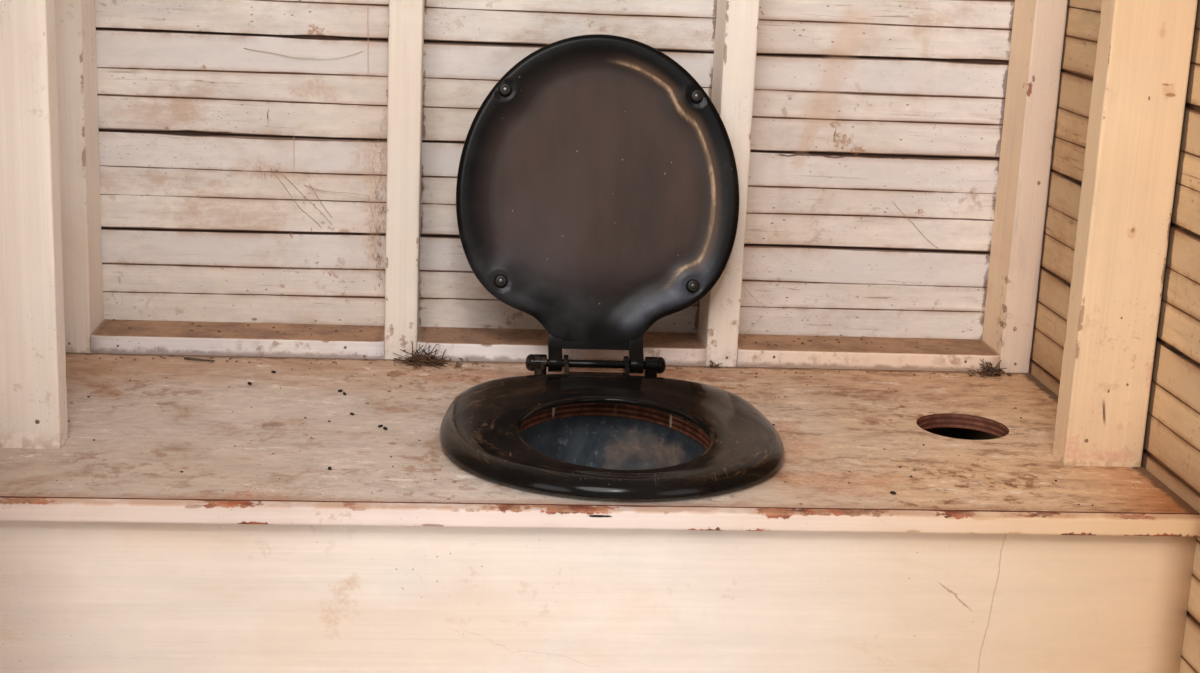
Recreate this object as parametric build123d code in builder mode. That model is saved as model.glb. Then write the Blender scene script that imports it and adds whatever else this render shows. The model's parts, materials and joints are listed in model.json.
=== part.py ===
"""The seat end of a wooden outhouse: framed and sided back and side walls, open at the front,
with the bench, the hinged seat ring and the lid built into it.
Millimetres, +Z up, -Y is the open front, origin at the middle of the footprint at ground level."""
import math
import os

from build123d import *

# driving dimensions
inner_w = 1290.0          # between the side sidings
stud_t, stud_w = 43.0, 93.0
siding_t = 18.0
trim_t, trim_w = 19.0, 89.0
wall_depth = 964.0        # front post face to the back siding
frame_h = 1820.0          # sill bottom to plate top, fourteen courses of siding
course = 130.0            # siding board pitch
course_0 = 68.0           # height of the first joint, the bottom board being cut
bench_h = 440.0           # bench top above ground
bench_depth = 580.0       # nosing face to the back studs
board_t = 18.0            # bench plywood
nosing_t, nosing_h = 19.0, 20.0
girt_rise = 24.0          # girt top above the bench
seat_x = 45.0             # seat centre line, right of the middle
mid_stud_x = (-225.0, 201.0)   # left edges of the two middle back studs
side_stud_y = -27.0       # front face of the side studs
vent_r = 55.0
vent_x, vent_y = 478.0, 121.0

# derived planes
half_w = inner_w / 2
depth_all = wall_depth + siding_t + 2 * trim_t
front_y = -depth_all / 2 + trim_t            # front post face
back_in_y = front_y + wall_depth             # inner face of the back siding
stud_y = back_in_y - stud_w                  # front face of the back studs
sill_top = stud_t
plate_bot = frame_h - stud_t
bench_bot = bench_h - board_t
bench_front = stud_y - bench_depth           # nosing face
board_front = bench_front + nosing_t
stud_in_x = half_w - stud_w                  # inner face of the side studs


def box(x0, x1, y0, y1, z0, z1):
    """A board between two corners, added to the part being built."""
    with Locations(((x0 + x1) / 2, (y0 + y1) / 2, (z0 + z1) / 2)):
        Box(x1 - x0, y1 - y0, z1 - z0)


parts = []


def keep(shape, label):
    shape.label = label
    parts.append(shape)
    return shape


def board(label, x0, x1, y0, y1, z0, z1, edge=2.0):
    """A sawn board with its long edges eased."""
    with BuildPart() as p:
        box(x0, x1, y0, y1, z0, z1)
        size = {Axis.X: x1 - x0, Axis.Y: y1 - y0, Axis.Z: z1 - z0}
        long_axis = max(size, key=size.get)
        chamfer(p.edges().filter_by(long_axis), edge)
    return keep(p.part, label)


# sills and plates
for name, z0, z1 in (("sill", 0.0, sill_top), ("plate", plate_bot, frame_h)):
    board(name + "_back", -half_w, half_w, stud_y, back_in_y, z0, z1)
    board(name + "_left", -half_w, -stud_in_x, front_y, stud_y, z0, z1)
    board(name + "_right", stud_in_x, half_w, front_y, stud_y, z0, z1)
board("sill_bench", -stud_in_x, stud_in_x, board_front, board_front + stud_w, 0.0, sill_top)

# studs and posts
for i, x in enumerate((-half_w, mid_stud_x[0], mid_stud_x[1], half_w - stud_t)):
    board("back_stud_%d" % (i + 1), x, x + stud_t, stud_y, back_in_y, sill_top, plate_bot)
board("side_stud_left", -half_w, -stud_in_x, side_stud_y, side_stud_y + stud_t, sill_top, plate_bot)
board("side_stud_right", stud_in_x, half_w, side_stud_y, side_stud_y + stud_t, sill_top, plate_bot)
board("front_post_left", -half_w, -stud_in_x, front_y, front_y + stud_t, sill_top, plate_bot)
board("front_post_right", stud_in_x, half_w, front_y, front_y + stud_t, sill_top, plate_bot)

# girts between the back studs
girt_top = bench_h + girt_rise
bays = ((-half_w + stud_t, mid_stud_x[0]), (mid_stud_x[0] + stud_t, mid_stud_x[1]),
        (mid_stud_x[1] + stud_t, half_w - stud_t))
for name, (x0, x1) in zip(("left", "middle", "right"), bays):
    board("girt_" + name, x0, x1, stud_y, back_in_y, girt_top - stud_t, girt_top)


# drop siding: one profile, run along the three walls
def siding_points():
    """Depth into the wall and height, from the bottom inside corner round to the top."""
    inner, outer = [(0.0, 0.0)], [(siding_t, 0.0)]
    for k in range(-1, int((frame_h - course_0) // course) + 1):
        z = course_0 + k * course
        if k >= 0:
            inner += [(0.0, z - 2.0), (5.0, z - 2.0), (5.0, z + 1.0), (0.0, z + 1.0)]
            outer += [(9.0, z), (siding_t, z)]
        for g in (44.0, 81.0):
            if 2 < z + g < frame_h - 2:
                inner += [(0.0, z + g - 0.8), (1.6, z + g), (0.0, z + g + 0.8)]
        outer += [(d, z + h) for d, h in ((siding_t, 98.0), (13.0, 104.0), (10.0, 112.0))
                  if 0 < z + h < frame_h]
    return inner + [(0.0, frame_h), (siding_t, frame_h)] + outer[::-1]


def siding(plane, length, label):
    with BuildPart() as p:
        with BuildSketch(plane):
            with BuildLine():
                Polyline(*siding_points(), close=True)
            make_face()
        extrude(amount=length)
    return keep(p.part, label)


side_len = back_in_y - front_y
siding(Plane(origin=(-half_w - siding_t, back_in_y, 0), x_dir=(0, 1, 0), z_dir=(1, 0, 0)),
       inner_w + 2 * siding_t, "siding_back")
siding(Plane(origin=(half_w, front_y, 0), x_dir=(1, 0, 0), z_dir=(0, -1, 0)),
       -side_len, "siding_right")
siding(Plane(origin=(-half_w, back_in_y, 0), x_dir=(-1, 0, 0), z_dir=(0, 1, 0)),
       -side_len, "siding_left")

# corner boards
out_x, out_y = half_w + siding_t, back_in_y + siding_t
for side, s in (("left", -1), ("right", 1)):
    def span(a, b):
        return (min(s * a, s * b), max(s * a, s * b))
    xa = span(out_x, out_x + trim_t)
    board("corner_board_side_back_" + side, *xa, out_y + trim_t - trim_w, out_y + trim_t, 0, frame_h)
    board("corner_board_side_front_" + side, *xa, front_y - trim_t, front_y - trim_t + trim_w, 0, frame_h)
    board("corner_board_back_" + side, *span(out_x - trim_w + trim_t, out_x), out_y, out_y + trim_t,
          0, frame_h)
    board("corner_board_front_" + side, *span(stud_in_x, out_x), front_y - trim_t, front_y, 0, frame_h)

# bench framing
riser_t = 15.0
bearer_y = board_front + riser_t
bearer_z = bench_bot - stud_w
ledger_x = stud_in_x - 18.0
joist_in = 155.0          # clear half width between the joists, about the seat centre
board("bench_bearer_back", -ledger_x, ledger_x, stud_y - stud_t, stud_y, bearer_z, bench_bot)
board("bench_ledger_left", -stud_in_x, -ledger_x, bearer_y, stud_y, bearer_z, bench_bot)
board("bench_ledger_right", ledger_x, stud_in_x, bearer_y, stud_y, bearer_z, bench_bot)
for name, x0 in (("left", seat_x - joist_in - stud_t), ("right", seat_x + joist_in)):
    board("bench_joist_" + name, x0, x0 + stud_t, bearer_y, stud_y - stud_t, bearer_z, bench_bot)

# bench top, nosing and riser
hinge_y = stud_y - 108.0
ring_front = bench_front + 18.0
open_w, open_l = 210.0, 268.0
ring_w = 386.0
open_cy = hinge_y - 278.0
drop_w, drop_l = 238.0, 340.0     # the hole in the bench runs back under the ring
drop_cy = open_cy + (drop_l - open_l) / 2 - 1

with BuildPart() as bench_top:
    box(-half_w, half_w, board_front, stud_y, bench_bot, bench_h)
    with BuildSketch(Plane.XY.offset(bench_h)):
        with Locations((seat_x, drop_cy)):
            Ellipse(drop_l / 2, drop_w / 2, rotation=90)
        with Locations((vent_x, vent_y)):
            Circle(vent_r)
        for s in (-1, 1):
            with Locations((s * (half_w - stud_w / 2), side_stud_y + stud_t / 2)):
                Rectangle(stud_w, stud_t)
    extrude(amount=-board_t, mode=Mode.SUBTRACT)
keep(bench_top.part, "bench_top")

with BuildPart() as nosing:
    box(-half_w, half_w, bench_front, board_front, bench_h - nosing_h, bench_h)
    fillet(nosing.edges().filter_by(Axis.X).group_by(Axis.Y)[0], 2.5)
keep(nosing.part, "bench_nosing")

board("bench_riser", -half_w, half_w, board_front, board_front + riser_t, sill_top, bench_bot, 0.5)

# sheet metal drop chute under the hole
chute_t, chute_drop, flange_w = 3.0, 250.0, 20.0
with BuildPart() as chute:
    with BuildSketch(Plane.XY.offset(bench_bot)):
        with Locations((seat_x, drop_cy)):
            Ellipse(drop_l / 2 + flange_w, drop_w / 2 + flange_w, rotation=90)
    extrude(amount=-chute_t)
    with BuildSketch(Plane.XY.offset(bench_bot)):
        with Locations((seat_x, drop_cy)):
            Ellipse(drop_l / 2 + 8, drop_w / 2 + 8, rotation=90)
    extrude(amount=-chute_drop)
    with BuildSketch(Plane.XY.offset(bench_bot)):
        with Locations((seat_x, drop_cy)):
            Ellipse(drop_l / 2 + 8 - chute_t, drop_w / 2 + 8 - chute_t, rotation=90)
    extrude(amount=-chute_drop, mode=Mode.SUBTRACT)
keep(chute.part, "drop_chute")

# hinge: rod, two posts with round caps
hinge_z = bench_h + 28.0
rod_r, bore_r, knuckle_r = 5.0, 5.4, 11.0
post_in, post_out, cap_out = 62.0, 78.0, 89.0
lug_in, lug_out = 35.0, 41.0      # ring lugs, either side of the bare rod
ear_in, ear_out = 42.5, 60.5      # lid ears, between the lugs and the posts


def x_plane(x):
    """Sketch plane square to the hinge: local x runs to the back, local y up."""
    return Plane(origin=(seat_x + x, hinge_y, hinge_z), x_dir=(0, 1, 0), z_dir=(1, 0, 0))


with BuildPart() as rod:
    with BuildSketch(x_plane(-cap_out + 4)):
        Circle(rod_r)
    extrude(amount=2 * cap_out - 8)
keep(rod.part, "hinge_rod")

for name, s in (("left", -1), ("right", 1)):
    x0, x1 = min(s * post_in, s * post_out), max(s * post_in, s * post_out)
    with BuildPart() as post:
        with BuildSketch(x_plane(s * post_in)):
            Circle(knuckle_r)
        extrude(amount=s * (cap_out - post_in))
        fillet(post.faces().sort_by(Axis.X)[-1 if s > 0 else 0].edges(), 8.0)
        with BuildSketch(x_plane(x0)):
            with Locations((0, -(hinge_z - bench_h) / 2)):
                Trapezoid(2 * knuckle_r - 1, hinge_z - bench_h, 88)
        extrude(amount=x1 - x0)
        with BuildSketch(Plane.XY.offset(bench_h)):
            with Locations((seat_x + (x0 + x1) / 2, hinge_y)):
                RectangleRounded(x1 - x0 + 12, 42, 5)
        extrude(amount=5)
        with BuildSketch(x_plane(-cap_out + 4)):
            Circle(rod_r)
        extrude(amount=2 * cap_out - 8, mode=Mode.SUBTRACT)
    keep(post.part, "hinge_post_" + name)


# seat ring and lid outlines
def closed(half_edge):
    """One smooth closed line from its right half, front to back."""
    with BuildLine() as edge:
        Spline(*half_edge, *[(-x, y) for x, y in half_edge[-2:0:-1]], periodic=True)
    return edge.edges()


# shares of the half width and of the length behind the widest place
square_back = ((0.965, 0.42), (0.86, 0.70), (0.66, 0.88), (0.36, 0.975), (0.0, 1.0))
round_back = ((0.93, 0.42), (0.68, 0.83), (0.35, 0.965), (0.0, 1.0))


def egg(half, front, back, wide, grow=0.0, back_half=round_back):
    """Seat outline in the bench plane about the seat line: the round front and a flatter back."""
    h, f, b = half + grow, front - grow, back + grow
    half_edge = [(0, f), (0.5 * h, wide - 0.866 * (wide - f)), (0.866 * h, wide - 0.5 * (wide - f)),
                 (h, wide)] + [(x * h, wide + y * (b - wide)) for x, y in back_half]
    return closed(half_edge)


bump_h = 6.0
ring_t = 20.0
ring_z0 = bench_h + bump_h
ring_back = hinge_y - 18.0
ring_wall, ring_web = 9.0, 8.0    # skirt and top of the hollow moulding
tab_top, tab_bot = -12.0, -17.0   # tab under the rod, from the hinge line
foot_w, foot_l = 26.0, 16.0
feet = [(s * 118.0, open_cy + y) for s in (-1, 1) for y in (-95.0, 156.0)]


def ring_line(grow):
    return egg(ring_w / 2, ring_front, ring_back, open_cy + 12, grow, square_back)


with BuildPart() as ring:
    with BuildSketch(Plane((seat_x, 0, ring_z0))):
        make_face(ring_line(0.0))
    extrude(amount=ring_t)
    with BuildSketch(Plane((seat_x, 0, ring_z0))):
        with Locations((0, open_cy)):
            Ellipse(open_l / 2, open_w / 2, rotation=90)
    extrude(amount=ring_t, mode=Mode.SUBTRACT)
    inner_edge, outer_edge = ring.faces().sort_by(Axis.Z)[-1].edges().sort_by(SortBy.LENGTH)
    fillet(outer_edge, 13.0)
    fillet(inner_edge, 5.0)
    # hollow underside, open to the hole below a thin lip, with a boss over each foot
    with BuildSketch(Plane((seat_x, 0, ring_z0))):
        make_face(ring_line(-ring_wall))
        for x, y in feet:
            with Locations((x, y)):
                RectangleRounded(foot_w + 4, foot_l + 4, 6, mode=Mode.SUBTRACT)
        with Locations((0, ring_back - 14)):
            Rectangle(2 * lug_out, 28, mode=Mode.SUBTRACT)
    extrude(amount=ring_t - ring_web, mode=Mode.SUBTRACT)
    # tab under the rod and a lug at each end of it
    with BuildSketch(x_plane(-lug_out)):
        with Locations(((6 - 40) / 2, (tab_top + tab_bot) / 2)):
            RectangleRounded(46, tab_top - tab_bot, 2)
    extrude(amount=2 * lug_out)
    for s in (-1, 1):
        with BuildSketch(x_plane(min(s * lug_in, s * lug_out))):
            Circle(knuckle_r)
            with BuildLine():
                Polyline((-7, 8.4), (-36, tab_top), (-36, tab_bot), (5, tab_bot), (10.4, -3.5), close=True)
            make_face()
        extrude(amount=lug_out - lug_in)
    with BuildSketch(x_plane(-cap_out)):
        Circle(bore_r)
    extrude(amount=2 * cap_out, mode=Mode.SUBTRACT)
keep(ring.part, "seat_ring")

# lid, modelled closed and then swung up
lid_open = 105.0
lid_t = 14.0
lid_gap = bump_h + 0.5
lid_z0 = ring_z0 + ring_t + lid_gap
lid_len = 420.0
lid_front, lid_back = hinge_y - lid_len, hinge_y - 46.0
neck_end, neck_step = 18.0, 3.0   # neck's reach to the hinge, and its step below the rim
lid_w = 362.0
rim_w, recess = 37.0, 6.0
swing = Pos(seat_x, hinge_y, hinge_z) * Rot(-lid_open, 0, 0) * Pos(-seat_x, -hinge_y, -hinge_z)
lid_bumpers = [(s * 122.0, hinge_y - d) for s in (-1, 1) for d in (344.0, 102.0)]

# right half of the lid's edge: share of the half width, distance from the hinge
lid_half_edge = [(share * lid_w / 2, hinge_y - d) for share, d in (
    (0.0, lid_len), (0.5, 392.0), (0.866, 315.0), (1.0, 208.0), (0.93, 136.0), (0.80, 96.0),
    (0.60, 70.0), (0.40, 52.0), (0.34, 40.0), (0.24, 31.0), (0.0, 29.0))]

with BuildPart() as lid:
    with BuildSketch(Plane((seat_x, 0, lid_z0))):
        make_face(closed(lid_half_edge))
    extrude(amount=lid_t)
    fillet(lid.faces().sort_by(Axis.Z)[-1].edges(), 6.0)
    fillet(lid.faces().sort_by(Axis.Z)[0].edges(), 4.0)
    with BuildSketch(Plane((seat_x, 0, lid_z0))):
        make_face(egg(lid_w / 2 - rim_w, lid_front + rim_w, lid_back - 30, hinge_y - 205))
        for x, y in lid_bumpers:
            with Locations((x, y)):
                Circle(23, mode=Mode.SUBTRACT)
    extrude(amount=recess, mode=Mode.SUBTRACT)
    with BuildSketch(x_plane(-ear_out)):
        with Locations((-(neck_end + 44) / 2, lid_z0 + (neck_step + lid_t - 1) / 2 - hinge_z)):
            RectangleRounded(44 - neck_end, lid_t - 1 - neck_step, 4)
    extrude(amount=2 * ear_out)
    for s in (-1, 1):
        x0 = min(s * ear_in, s * ear_out)
        with BuildSketch(x_plane(x0)):
            Circle(knuckle_r)
            with BuildLine():
                Polyline((6, 9.2), (-20, lid_z0 + lid_t - 1 - hinge_z), (-40, lid_z0 + lid_t - 1 - hinge_z),
                         (-40, lid_z0 + neck_step - hinge_z), (-24, lid_z0 + neck_step - hinge_z),
                         (-6, -9.2), close=True)
            make_face()
        extrude(amount=ear_out - ear_in)
    with BuildSketch(x_plane(-cap_out)):
        Circle(bore_r)
    extrude(amount=2 * cap_out, mode=Mode.SUBTRACT)
keep(swing * lid.part, "lid")

# bumpers
bumper_r = 9.0
rest_gap = 0.3
with BuildPart() as sb:
    with BuildSketch(Plane.XY.offset(bench_h + rest_gap)):
        for x, y in feet:
            with Locations((seat_x + x, y)):
                RectangleRounded(foot_w, foot_l, 5)
    extrude(amount=bump_h - rest_gap)
keep(sb.part, "seat_bumpers")

with BuildPart() as lb:
    with BuildSketch(Plane((seat_x, 0, lid_z0))):
        for x, y in lid_bumpers:
            with Locations((x, y)):
                Circle(bumper_r)
    extrude(amount=-bump_h)
keep(swing * lb.part, "lid_bumpers")

os.makedirs("parts", exist_ok=True)
for shape in parts:
    export_step(shape, "parts/%s.step" % shape.label)
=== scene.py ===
"""Looks of the outhouse seat bay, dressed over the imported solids. Metres, row frame."""

import json
import math
import random

import bmesh
import bpy
import numpy as np
from mathutils import Matrix, Vector, noise


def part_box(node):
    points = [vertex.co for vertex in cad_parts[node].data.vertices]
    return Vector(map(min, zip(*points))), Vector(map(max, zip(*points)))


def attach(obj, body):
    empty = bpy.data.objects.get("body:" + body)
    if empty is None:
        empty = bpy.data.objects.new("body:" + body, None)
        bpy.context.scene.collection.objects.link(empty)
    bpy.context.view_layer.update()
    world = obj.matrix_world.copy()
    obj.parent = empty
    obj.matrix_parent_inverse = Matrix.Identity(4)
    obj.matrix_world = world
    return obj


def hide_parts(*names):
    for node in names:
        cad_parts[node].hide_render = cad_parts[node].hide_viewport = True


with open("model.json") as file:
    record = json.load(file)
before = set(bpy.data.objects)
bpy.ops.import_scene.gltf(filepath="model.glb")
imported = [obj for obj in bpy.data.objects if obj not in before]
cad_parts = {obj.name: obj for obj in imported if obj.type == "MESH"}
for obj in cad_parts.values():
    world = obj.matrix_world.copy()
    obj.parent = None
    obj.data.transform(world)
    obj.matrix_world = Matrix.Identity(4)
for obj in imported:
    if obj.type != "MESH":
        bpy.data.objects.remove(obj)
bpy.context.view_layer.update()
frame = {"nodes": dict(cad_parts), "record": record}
rng = random.Random(7)

# dimensions shared with the solids
SEAT_X = 0.045
HINGE = Vector((SEAT_X, 0.272, 0.468))
BENCH_Z = 0.44
BENCH_FRONT, RISER_Y = -0.2, -0.181
STUD_Y, SIDE_STUD_Y = 0.38, -0.027      # faces of the studs
VENT_X, VENT_Y = 0.478, 0.121
BACK_Y = 0.473
HALF_W = 0.645
FRONT_Y = -0.491
FRAME_H = 1.82
STUD_X = (-0.6235, -0.2035, 0.2225, 0.6235)     # middles of the back studs
COURSE, COURSE_0 = 0.13, 0.068
SIDING_T = 0.018
LID_OPEN = math.radians(105)
MM = 0.001
FEET = [(SEAT_X + s * 0.118, y) for s in (-1, 1) for y in (-0.101, 0.15)]


def lin(c):
    """An sRGB colour in 0-255 as linear RGBA."""
    shares = [min(v, 255) / 255.0 for v in c]
    return (*[v / 12.92 if v <= 0.04045 else ((v + 0.055) / 1.055) ** 2.4 for v in shares], 1.0)


class Value:
    """A number worked out by nodes, which adds and multiplies like a plain one."""

    def __init__(self, mat, socket):
        self.mat, self.socket = mat, socket

    def __add__(self, other):
        return self.mat.math("ADD", self, other)

    def __sub__(self, other):
        return self.mat.math("SUBTRACT", self, other)

    def __rsub__(self, other):
        return self.mat.math("SUBTRACT", other, self)

    def __mul__(self, other):
        return self.mat.math("MULTIPLY", self, other)

    def __abs__(self):
        return self.mat.math("ABSOLUTE", self)

    def ramp(self, a, b, lo=0.0, hi=1.0, shape="LINEAR"):
        """lo at a and hi at b, held beyond them; a may be above b."""
        return self.mat.value("ShaderNodeMapRange", 0, {"interpolation_type": shape}, Value=self,
                              From_Min=a, From_Max=b, To_Min=lo, To_Max=hi)

    def step(self, a, b):
        """0 at a and 1 at b, smooth between."""
        return self.ramp(a, b, shape="SMOOTHSTEP")

    def span(self, lo, hi):
        """The usual range of a noise, taken to lo and hi."""
        return self.ramp(0.3, 0.7, lo, hi)


def most(first, *others):
    """The largest of several masks, place by place."""
    for other in others:
        first = first.mat.math("MAXIMUM", first, other)
    return first


class Mat:
    """A node material built up in coats on col. Colours are sRGB in 0-255; axis is a board's length."""

    def __init__(self, name, axis="x"):
        self.m = bpy.data.materials.new(name)
        self.m.use_nodes = True
        self.t = self.m.node_tree
        self.t.nodes.clear()
        self.axis, self.wavers = axis, {}
        self.shader = self.node("ShaderNodeBsdfPrincipled")
        self.put(self.node("ShaderNodeOutputMaterial").inputs[0], self.shader.outputs[0])
        self.place = self.node("ShaderNodeTexCoord").outputs["Object"]
        _, self.ny, self.nz = self.parts(self.node("ShaderNodeNewGeometry").outputs["Normal"])
        self.x, self.y, self.z = self.parts(self.place)

    def put(self, socket, v):
        """Links a socket to a value or another socket, or sets it to a colour or a number."""
        v = v.socket if isinstance(v, Value) else v
        if isinstance(v, bpy.types.NodeSocket):
            self.t.links.new(v, socket)
        elif v is not None:
            socket.default_value = lin(v) if isinstance(v, tuple) else v

    def node(self, kind, props=None, **inputs):
        n = self.t.nodes.new(kind)
        for k, v in (props or {}).items():
            setattr(n, k, v)
        for k, v in inputs.items():
            self.put(n.inputs[k.replace("_", " ")], v)
        return n

    def value(self, kind, output=0, props=None, **inputs):
        return Value(self, self.node(kind, props, **inputs).outputs[output])

    def parts(self, vector):
        return [Value(self, s) for s in self.node("ShaderNodeSeparateXYZ", Vector=vector).outputs]

    def math(self, op, a, b=0.0):
        n = self.node("ShaderNodeMath", {"operation": op})
        self.put(n.inputs[0], a)
        self.put(n.inputs[1], b)
        return Value(self, n.outputs[0])

    def vector(self, op, a, b=None):
        n = self.node("ShaderNodeVectorMath", {"operation": op})
        self.put(n.inputs[0], a)
        if b:
            n.inputs[1].default_value = b
        return n

    def attr(self, name):
        return self.value("ShaderNodeAttribute", "Fac", {"attribute_name": name})

    def stretch(self, sx, sy, sz, shift=0.0):
        n = self.node("ShaderNodeMapping", Vector=self.place)
        n.inputs["Scale"].default_value = (sx, sy, sz)
        n.inputs["Location"].default_value = (shift, shift, shift)
        return n.outputs[0]

    def along(self, lengthwise, across, shift=0.0):
        return self.stretch(*[lengthwise if a == self.axis else across for a in "xyz"], shift)

    def noise(self, scale, detail=4.0, rough=0.55, vec=None, distort=0.0):
        return self.value("ShaderNodeTexNoise", "Fac", Vector=vec or self.place, Scale=scale, Detail=detail,
                          Roughness=rough, Distortion=distort)

    def drawn(self, sx, sy, sz, detail=5, rough=0.7, shift=0.0, distort=0.0):
        """Noise drawn out by its own scale along x, y and z."""
        return self.noise(1.0, detail, rough, self.stretch(sx, sy, sz, shift), distort)

    def fibre(self, lengthwise, across, detail=5, rough=0.7, shift=0.0, distort=0.0):
        """Noise drawn out along the board."""
        return self.noise(1.0, detail, rough, self.along(lengthwise, across, shift), distort)

    def cells(self, scale, vec=None):
        return self.value("ShaderNodeTexVoronoi", "Distance", Vector=vec or self.place, Scale=scale)

    def mix(self, f, a, b, blend="MIX"):
        n = self.node("ShaderNodeMix", {"data_type": "RGBA", "blend_type": blend})
        for i, v in ((0, f), (6, a), (7, b)):
            self.put(n.inputs[i], v)
        return n.outputs[2]

    def lay(self, colour, f):
        """A coat of a colour where f is 1."""
        self.col = self.mix(f, self.col, colour)

    def shade(self, f):
        """Darkens or lightens by a grey value f."""
        grey = self.node("ShaderNodeCombineColor", Red=f, Green=f, Blue=f)
        self.col = self.mix(1.0, self.col, grey.outputs[0], "MULTIPLY")

    def waver(self, scale):
        """A noise from -1 to 1, made once a scale."""
        if scale not in self.wavers:
            self.wavers[scale] = self.noise(scale, 5, 0.6).ramp(0.25, 0.75, -1, 1)
        return self.wavers[scale]

    def spot(self, centre, radii, wobble=0.35, scale=25, edge=0.5):
        """A ragged blot about a point: 1 inside, 0 outside."""
        off = self.vector("DIVIDE", self.vector("SUBTRACT", self.place, centre).outputs[0], radii)
        far = Value(self, self.vector("LENGTH", off.outputs[0]).outputs["Value"])
        return (far + self.waver(scale) * wobble).step(1 + edge / 2, 1 - edge / 2)

    def spots(self, items, broken=0.0, **how):
        """Blots at (centre, radii) pairs, broken up by fine specks."""
        out = most(*[self.spot(c, r, **how) for c, r in items])
        return out * self.noise(190, 3, 0.7).ramp(0.4, 0.58, 1 - broken, 1) if broken else out

    def blots(self, y, depth, items, broken=0.0, **how):
        """Blots on an upright face at y, each (x, z, half width, half height)."""
        return self.spots([((x, y, z), (rx, depth, rz)) for x, z, rx, rz in items], broken, **how)

    def streak(self, x0, z0, x1, z1, w, wob=0.004, scale=30):
        """A wavering line on an upright face: 1 on it, 0 beside it."""
        length = math.hypot(x1 - x0, z1 - z0)
        cx, cz = (x1 - x0) / length, (z1 - z0) / length
        u, v = self.x - x0, self.z - z0
        off = abs(u * cz - v * cx + self.waver(scale) * wob)
        t = u * cx + v * cz
        return off.step(w, w * 0.3) * (t.step(-0.01, 0.004) * t.step(length + 0.01, length - 0.004))

    def streaks(self, *lines):
        return most(*[self.streak(*line) for line in lines])

    def bump(self, *heights):
        """Stacks bumps: (height, strength, distance)."""
        last = None
        for height, strength, distance in heights:
            n = self.node("ShaderNodeBump", Height=height, Strength=strength, Distance=distance, Normal=last)
            last = n.outputs[0]
        self.put(self.shader.inputs["Normal"], last)

    def finish(self, rough, **shader):
        for k, v in {"Base Color": self.col, "Roughness": rough, **shader}.items():
            self.put(self.shader.inputs[k.replace("_", " ")], v)
        return self.m


def times(c, *k):
    return tuple(v * f for v, f in zip(c, k))


def paint(m, c, grime=1.0, cool=0.4, chip=1.0):
    """Old brushed paint: slow shifts of colour, brush streaks, stains, flecks, specks and chipped edges."""
    m.mid, slow = m.noise(8, 5, 0.6), m.noise(2.7, 2)
    fine, m.grain = m.fibre(5, 330), m.fibre(1.7, 75, 5, 0.65, 3)
    m.speckle, m.patch = m.noise(52, 5, 0.68), m.noise(6.1, 3).step(0.47, 0.64)
    m.col = m.mix(slow.step(0.35, 0.65), c, times(c, 0.96, 0.945, 0.93))
    m.lay(times(c, 0.93, 0.94, 0.98), m.mid.step(0.44, 0.6) * cool)
    m.shade(m.grain.span(0.95, 1.04) * fine.span(0.96, 1.03))
    m.shade(m.attr("tone").ramp(0, 1, 0.95, 1.03))
    stain = m.noise(5.3, 6, 0.68, distort=0.7).step(0.55, 0.72)
    m.lay(times(c, 0.8, 0.7, 0.6), stain * (0.32 * grime))
    m.lay(times(c, 0.7, 0.57, 0.46), m.speckle.step(0.585, 0.65) * m.patch * (0.6 * grime))
    drag = m.fibre(9, 210, 4, 0.6, 7).step(0.62, 0.7)
    m.lay(times(c, 0.74, 0.62, 0.52), drag * m.mid.step(0.48, 0.62) * (0.42 * grime))
    m.lay((96, 68, 52), m.cells(150).step(0.15, 0.08) * m.mid.step(0.5, 0.6) * (0.7 * grime))
    wear, where = m.attr("wear"), m.noise(4.3, 3).step(0.5, 0.66)
    worn = (wear * 0.6 + m.speckle * 0.7 + where * 0.16).step(1.045 - 0.04 * chip, 1.085 - 0.04 * chip)
    m.lay((138, 96, 74), worn * 0.66)
    m.lay(times(c, 0.8, 0.7, 0.62), wear.step(0.2, 1) * m.mid.step(0.42, 0.6) * (0.25 * grime))
    m.relief = [(fine, 0.22, 0.0006), (m.grain, 0.22, 0.0011), (m.speckle, 0.12, 0.0012),
                (1 - worn, 0.5, 0.0008)]


def painted(m, spec=0.25):
    m.bump(*m.relief)
    return m.finish(m.grain.span(0.6, 0.82), Specular_IOR_Level=spec)


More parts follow.
